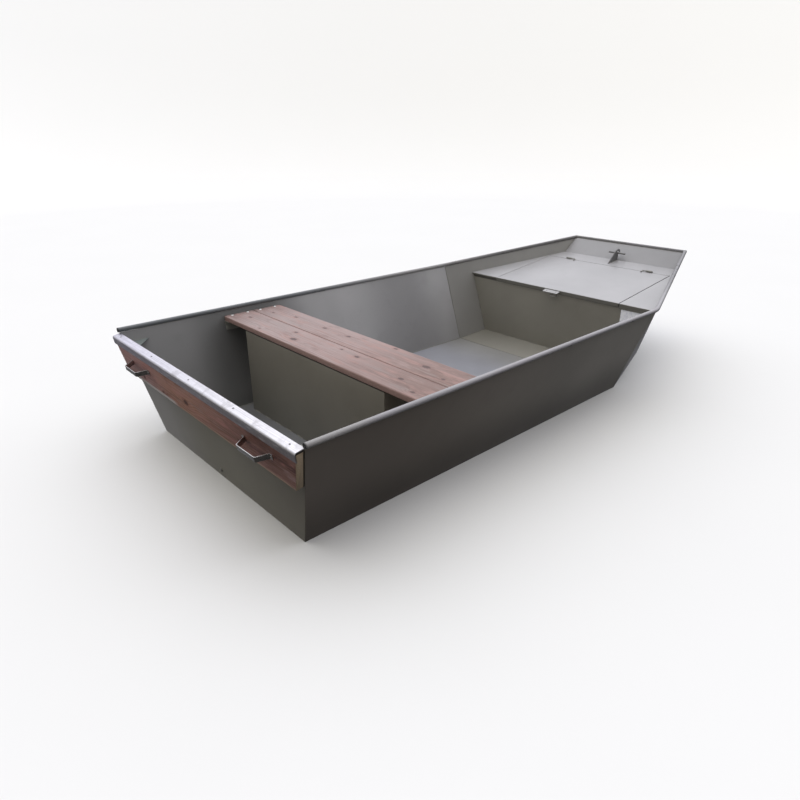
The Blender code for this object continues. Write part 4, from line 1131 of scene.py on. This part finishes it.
# ------------------------------------------------------------------ hinges
for side, s in SIDES:
    at = on_deck(HINGE_X, 0, HINGE_RISE)
    bm = bmesh.new()
    barrel_in, barrel_out, pin_in = HINGES[side]
    y0, y1 = sorted((s * barrel_in, s * barrel_out))
    turned = ((y0 + 0.0002, BARREL_BORE_R), (y0, BARREL_BORE_R + 0.0002), (y0, BARREL_R - 0.0005), (y0 + 0.0005, BARREL_R),
              (y1 - 0.0005, BARREL_R), (y1, BARREL_R - 0.0005), (y1, BARREL_BORE_R + 0.0002), (y1 - 0.0002, BARREL_BORE_R))
    rows = loft(bm, [circle(at + Vector((0, y, 0)), Vector((0, 1, 0)), r, 32) for y, r in turned], caps=False)
    for k in range(32):
        j = (k + 1) % 32
        bm.faces.new((rows[-1][k], rows[-1][j], rows[0][j], rows[0][k]))
    foot_at = at.z - HINGE_RISE
    for end in (y0 + 0.0035, (y0 + y1) / 2, y1 - 0.0035):
        a = Vector((HINGE_X + 0.0046, end - 0.0052, foot_at + 0.0016))
        b = Vector((HINGE_X + 0.0046, end + 0.0052, foot_at + 0.0016))
        ripple(bm, a, b, 0.0022, 0.0016, 10, end * 9, 0.2)
    prism(bm, [(HINGE_X + 0.0006, y0 + 0.0025), (HINGE_X + 0.0062, y0 + 0.0025), (HINGE_X + 0.0062, y1 - 0.0025), (HINGE_X + 0.0006, y1 - 0.0025)],
          lambda x, y, z: Vector((x, y, z)), (foot_at + 0.0010, foot_at + 0.0030))
    piece(f"welded_hinge_barrel_{side}", bm, weld_paint, "hull", [f"hinge_barrel_{side}"], 35)

    bm = bmesh.new()
    turn = 0.0060
    route = [on_deck(HINGE_X, s * (barrel_out - 0.0040), HINGE_RISE), on_deck(HINGE_X, s * (pin_in + turn + 0.004), HINGE_RISE)]
    route += [on_deck(HINGE_X - turn * (1 - cos(radians(a))), s * (pin_in + turn * (1 - sin(radians(a)))),
                      HINGE_RISE - 0.0004 * a / 90) for a in range(0, 91, 10)]
    route.append(on_deck(HINGE_X - PIN_LEG + 0.001, s * pin_in, PIN_R + GAP))
    rod(bm, route, PIN_R, 20, DECK_UP, 0.5)
    for x in (HINGE_X - PIN_LEG + 0.004, HINGE_X - PIN_LEG + 0.009):
        for dy in (0.0024, -0.0024):
            ripple(bm, on_deck(x - 0.003, s * pin_in + dy, 0.0006), on_deck(x + 0.003, s * pin_in + dy, 0.0006),
                   0.0013, 0.001, 8, x * 3 + dy, 0.2)
    piece(f"bent_hinge_pin_{side}", bm, weld_paint, "hatch", [f"hinge_pin_{side}"], 35)

# ------------------------------------------------------------------ latch staple
bm = bmesh.new()
shoulder = STAPLE_REACH - STAPLE_HALF
bow = [(0.0, STAPLE_HALF)]
bow += [(-shoulder - STAPLE_HALF * sin(radians(a)), STAPLE_HALF * cos(radians(a))) for a in range(0, 181, 9)]
bow.append((0.0, -STAPLE_HALF))
rod(bm, [Vector((BULKHEAD_X - GAP + x, STAPLE_Y + y, STAPLE_Z)) for x, y in bow], 0.0025, 18, Vector((0, 0, 1)), 0.0)
for y in (STAPLE_HALF, -STAPLE_HALF):
    loft(bm, [circle(Vector((BULKHEAD_X - GAP - d, STAPLE_Y + y, STAPLE_Z)), Vector((1, 0, 0)), r, 18)
              for r, d in ((0.0044, 0.0), (0.0042, 0.0006), (0.0034, 0.0014), (0.0026, 0.0020))])
piece("bent_latch_staple", bm, steel, "hull", ["latch_staple"], 35)

# ------------------------------------------------------------------ mooring bitt
FIN = ((2.6960, .0005), (2.7560, .0500), (2.7680, .0605), (2.7820, .0670), (2.7960, .0690), (2.8090, .0655),
       (2.8190, .0570), (2.8240, .0460), (2.8160, .0430), (2.8110, .0510), (2.8020, .0570), (2.7930, .0580),
       (2.7860, .0535), (2.7905, .0500), (2.7985, .0450), (2.8020, .0370), (2.8030, .0200), (2.8010, .0080), (2.7930, .0005))
SHARP = {0, 1, 7, 8, 12, 18}
outline = []
for i in range(len(FIN)):
    p0, p1, p2, p3 = (Vector(FIN[(i + k) % len(FIN)]) for k in (-1, 0, 1, 2))
    if i in SHARP:
        p0 = p1 + (p1 - p2)
    if (i + 1) % len(FIN) in SHARP:
        p3 = p2 + (p2 - p1)
    steps = 1 if {i, (i + 1) % len(FIN)} <= {0, 1} or i == len(FIN) - 1 else 5
    for k in range(steps):
        t = k / steps
        outline.append(0.5 * ((2 * p1) + (p2 - p0) * t + (2 * p0 - 5 * p1 + 4 * p2 - p3) * t * t
                              + (3 * p1 - p0 - 3 * p2 + p3) * t ** 3))
bm = bmesh.new()
prism(bm, [(p.x, p.y) for p in outline], lambda x, rise, y: Vector((x, y, deck_z(x) + rise)), (-0.0030, 0.0030))
piece("mooring_bitt_plate", bm, bitt_shade_paint, "hull", ["mooring_bitt"], 30, 0.0007)
bm = bmesh.new()
bar = Vector((2.7920, 0, 0.5130))
rod(bm, [bar + Vector((0, y, 0)) for y in (-0.0550, -0.03, 0.0, 0.03, 0.0550)], 0.0050, 28, Vector((0, 0, 1)), 0.2)
piece("mooring_bitt_crossbar", bm, bitt_shade_paint, "hull", (), 35)
bm = bmesh.new()
for s in (1, -1):
    ripple(bm, on_deck(2.7000, s * 0.0034, 0.0008), on_deck(2.7930, s * 0.0034, 0.0008), 0.0022, 0.003, 8, 120 + s)
    ring = circle(bar + Vector((0, s * 0.0034, 0)), Vector((0, 1, 0)), 0.0053, 32)
    rod(bm, ring + ring[:1], [0.0013 * (1 + 0.2 * noise.noise(Vector((k * 0.8, s, 2)))) for k in range(33)], 8, dome=0)
piece("mooring_bitt_welds", bm, weld_paint, "hull", (), 60)

# ------------------------------------------------------------------ blank plate
bm = bmesh.new()
prism(bm, rounded(-0.5500, 0.2850, -0.4300, 0.3600, (0.004,) * 4, 6),
      lambda y, z, x: Vector((x, y, z)), (BULKHEAD_X - GAP - 0.0010, BULKHEAD_X - GAP))
for y in (-0.5440, -0.4360):
    for z in (0.2910, 0.3540):
        head(bm, Vector((BULKHEAD_X - GAP - 0.0009, y, z)), Vector((-1, 0, 0)), scaled(DOME, 0.0022), 16)
piece("blank_white_plate", bm, white_plate, "hull", ["blank_plate"], 30, 0.0003)

# ------------------------------------------------------------------ stage, light, camera
bm = bmesh.new()
profile = [(0.02, 0.0), (1.0, 0.0), (3.0, 0.0), (6.0, 0.0), (9.0, 0.0)]
profile += [(9.0 + 3.0 * sin(radians(a)), 3.0 * (1 - cos(radians(a)))) for a in range(6, 85, 6)]
profile += [(12.2, 8.0)]
rows = [[bm.verts.new((r * cos(2 * pi * k / 96), r * sin(2 * pi * k / 96), z - 0.0004)) for k in range(96)] for r, z in profile]
for low_row, high_row in zip(rows, rows[1:]):
    for k in range(96):
        j = (k + 1) % 96
        bm.faces.new((low_row[k], low_row[j], high_row[j], high_row[k]))
bm.faces.new(rows[0])
bmesh.ops.recalc_face_normals(bm, faces=bm.faces)
mesh = bpy.data.meshes.new("floor")
bm.to_mesh(mesh)
bm.free()
mesh.shade_smooth()
floor = bpy.data.objects.new("floor", mesh)
bpy.context.scene.collection.objects.link(floor)
s = Shader("pale_floor", 0.9, 0.0, 0.1)
s.feed(s.bsdf.inputs["Base Color"], s.mix((0.775, 0.775, 0.765), (0.795, 0.795, 0.785), s.noise(s.position, 1.2, 3)))
s.feed(s.bsdf.inputs["Emission Color"], (1.0, 1.0, 1.0, 1.0))
lean = s.math("SUBTRACT", 1.0, s.parts(s.normal)[2])
s.feed(s.bsdf.inputs["Emission Strength"], s.math("MULTIPLY", s.math("POWER", s.math("MAXIMUM", lean, 0.0), 0.55), 0.68))
mesh.materials.append(s.mat)
floor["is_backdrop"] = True
floor.visible_diffuse = floor.visible_glossy = floor.visible_transmission = floor.visible_shadow = False

scene = bpy.context.scene
world = bpy.data.worlds.new("soft_studio")
scene.world = world
world.use_nodes = True
tree = world.node_tree
tree.nodes.clear()
# a soft sky: the light of four quarters, each at four heights above the horizon, and a dim ground
SKY = {  # quarter: (axis, sign, strength at z = 0, 0.3, 0.6, 1.0, tint, ground)
    "bow": (0, 1.0, (0.05, 1.29, 1.78, 2.06), (0.975, 0.985, 1.035), 0.05),
    "stern": (0, -1.0, (1.75, 0.17, 0.02, 2.06), (1.03, 0.985, 0.875), 0.03),
    "port": (1, 1.0, (0.59, 0.75, 1.86, 2.06), (0.975, 0.985, 1.045), 0.17),
    "starboard": (1, -1.0, (0.60, 0.42, 0.02, 2.06), (1.0, 0.985, 1.02), 0.04),
}


def wnode(kind, operation=None, *values):
    node = tree.nodes.new(kind)
    if operation:
        node.operation = operation
    for socket, value in zip(node.inputs, values):
        if isinstance(value, bpy.types.NodeSocket):
            tree.links.new(value, socket)
        elif value is not None:
            socket.default_value = value
    return node.outputs[0]


def wmath(operation, *values):
    return wnode("ShaderNodeMath", operation, *values)


def wvector(operation, *values):
    return wnode("ShaderNodeVectorMath", operation, *values)


def between(value, low, high):
    node = tree.nodes.new("ShaderNodeMapRange")
    node.interpolation_type = "LINEAR"
    tree.links.new(value, node.inputs["Value"])
    for key, number in (("From Min", low), ("From Max", high), ("To Min", 0.0), ("To Max", 1.0)):
        node.inputs[key].default_value = number
    return node.outputs["Result"]


direction = tree.nodes.new("ShaderNodeTexCoord").outputs["Generated"]
axes = tree.nodes.new("ShaderNodeSeparateXYZ")
tree.links.new(direction, axes.inputs[0])
height = axes.outputs[2]
level = wmath("SQRT", wmath("SUBTRACT", 1.00001, wmath("MULTIPLY", height, height)))
above = between(height, -0.03, 0.03)
total = None
for axis, sign, strengths, tint, ground in SKY.values():
    share = wmath("MAXIMUM", wmath("DIVIDE", wmath("MULTIPLY", axes.outputs[axis], sign), level), 0.0)
    share = wmath("MULTIPLY", share, share)
    value = strengths[0]
    for low_z, high_z, a, b in zip((0.0, 0.3, 0.6), (0.3, 0.6, 1.0), strengths, strengths[1:]):
        value = wmath("MULTIPLY_ADD", between(height, low_z, high_z), b - a, value)
    value = wmath("MULTIPLY_ADD", above, wmath("SUBTRACT", value, ground), ground)
    value = wmath("MULTIPLY", value, share)
    lit = wvector("MULTIPLY", wnode("ShaderNodeCombineXYZ", None, value, value, value), tint)
    total = lit if total is None else wvector("ADD", total, lit)
background = tree.nodes.new("ShaderNodeBackground")
tree.links.new(total, background.inputs["Color"])
background.inputs["Strength"].default_value = 1.0
tree.links.new(background.outputs[0], tree.nodes.new("ShaderNodeOutputWorld").inputs["Surface"])

scene.view_settings.view_transform = "Standard"
scene.view_settings.look = "None"

camera_data = bpy.data.cameras.new("camera")
camera_data.lens, camera_data.sensor_width, camera_data.clip_start, camera_data.clip_end = 27.36, 36.0, 0.05, 100.0
camera = bpy.data.objects.new("camera", camera_data)
scene.collection.objects.link(camera)
forward, right, down = Vector((.61706, .67202, -.40943)), Vector((.73716, -.67572, .00190)), Vector((-.27538, -.30299, -.91234))
turned = Matrix((right, -down, -forward)).transposed().to_4x4()
turned.translation = Vector((-0.87122 - OX, -1.9499, 1.2405))
camera.matrix_world = turned
scene.camera = camera

low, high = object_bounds()
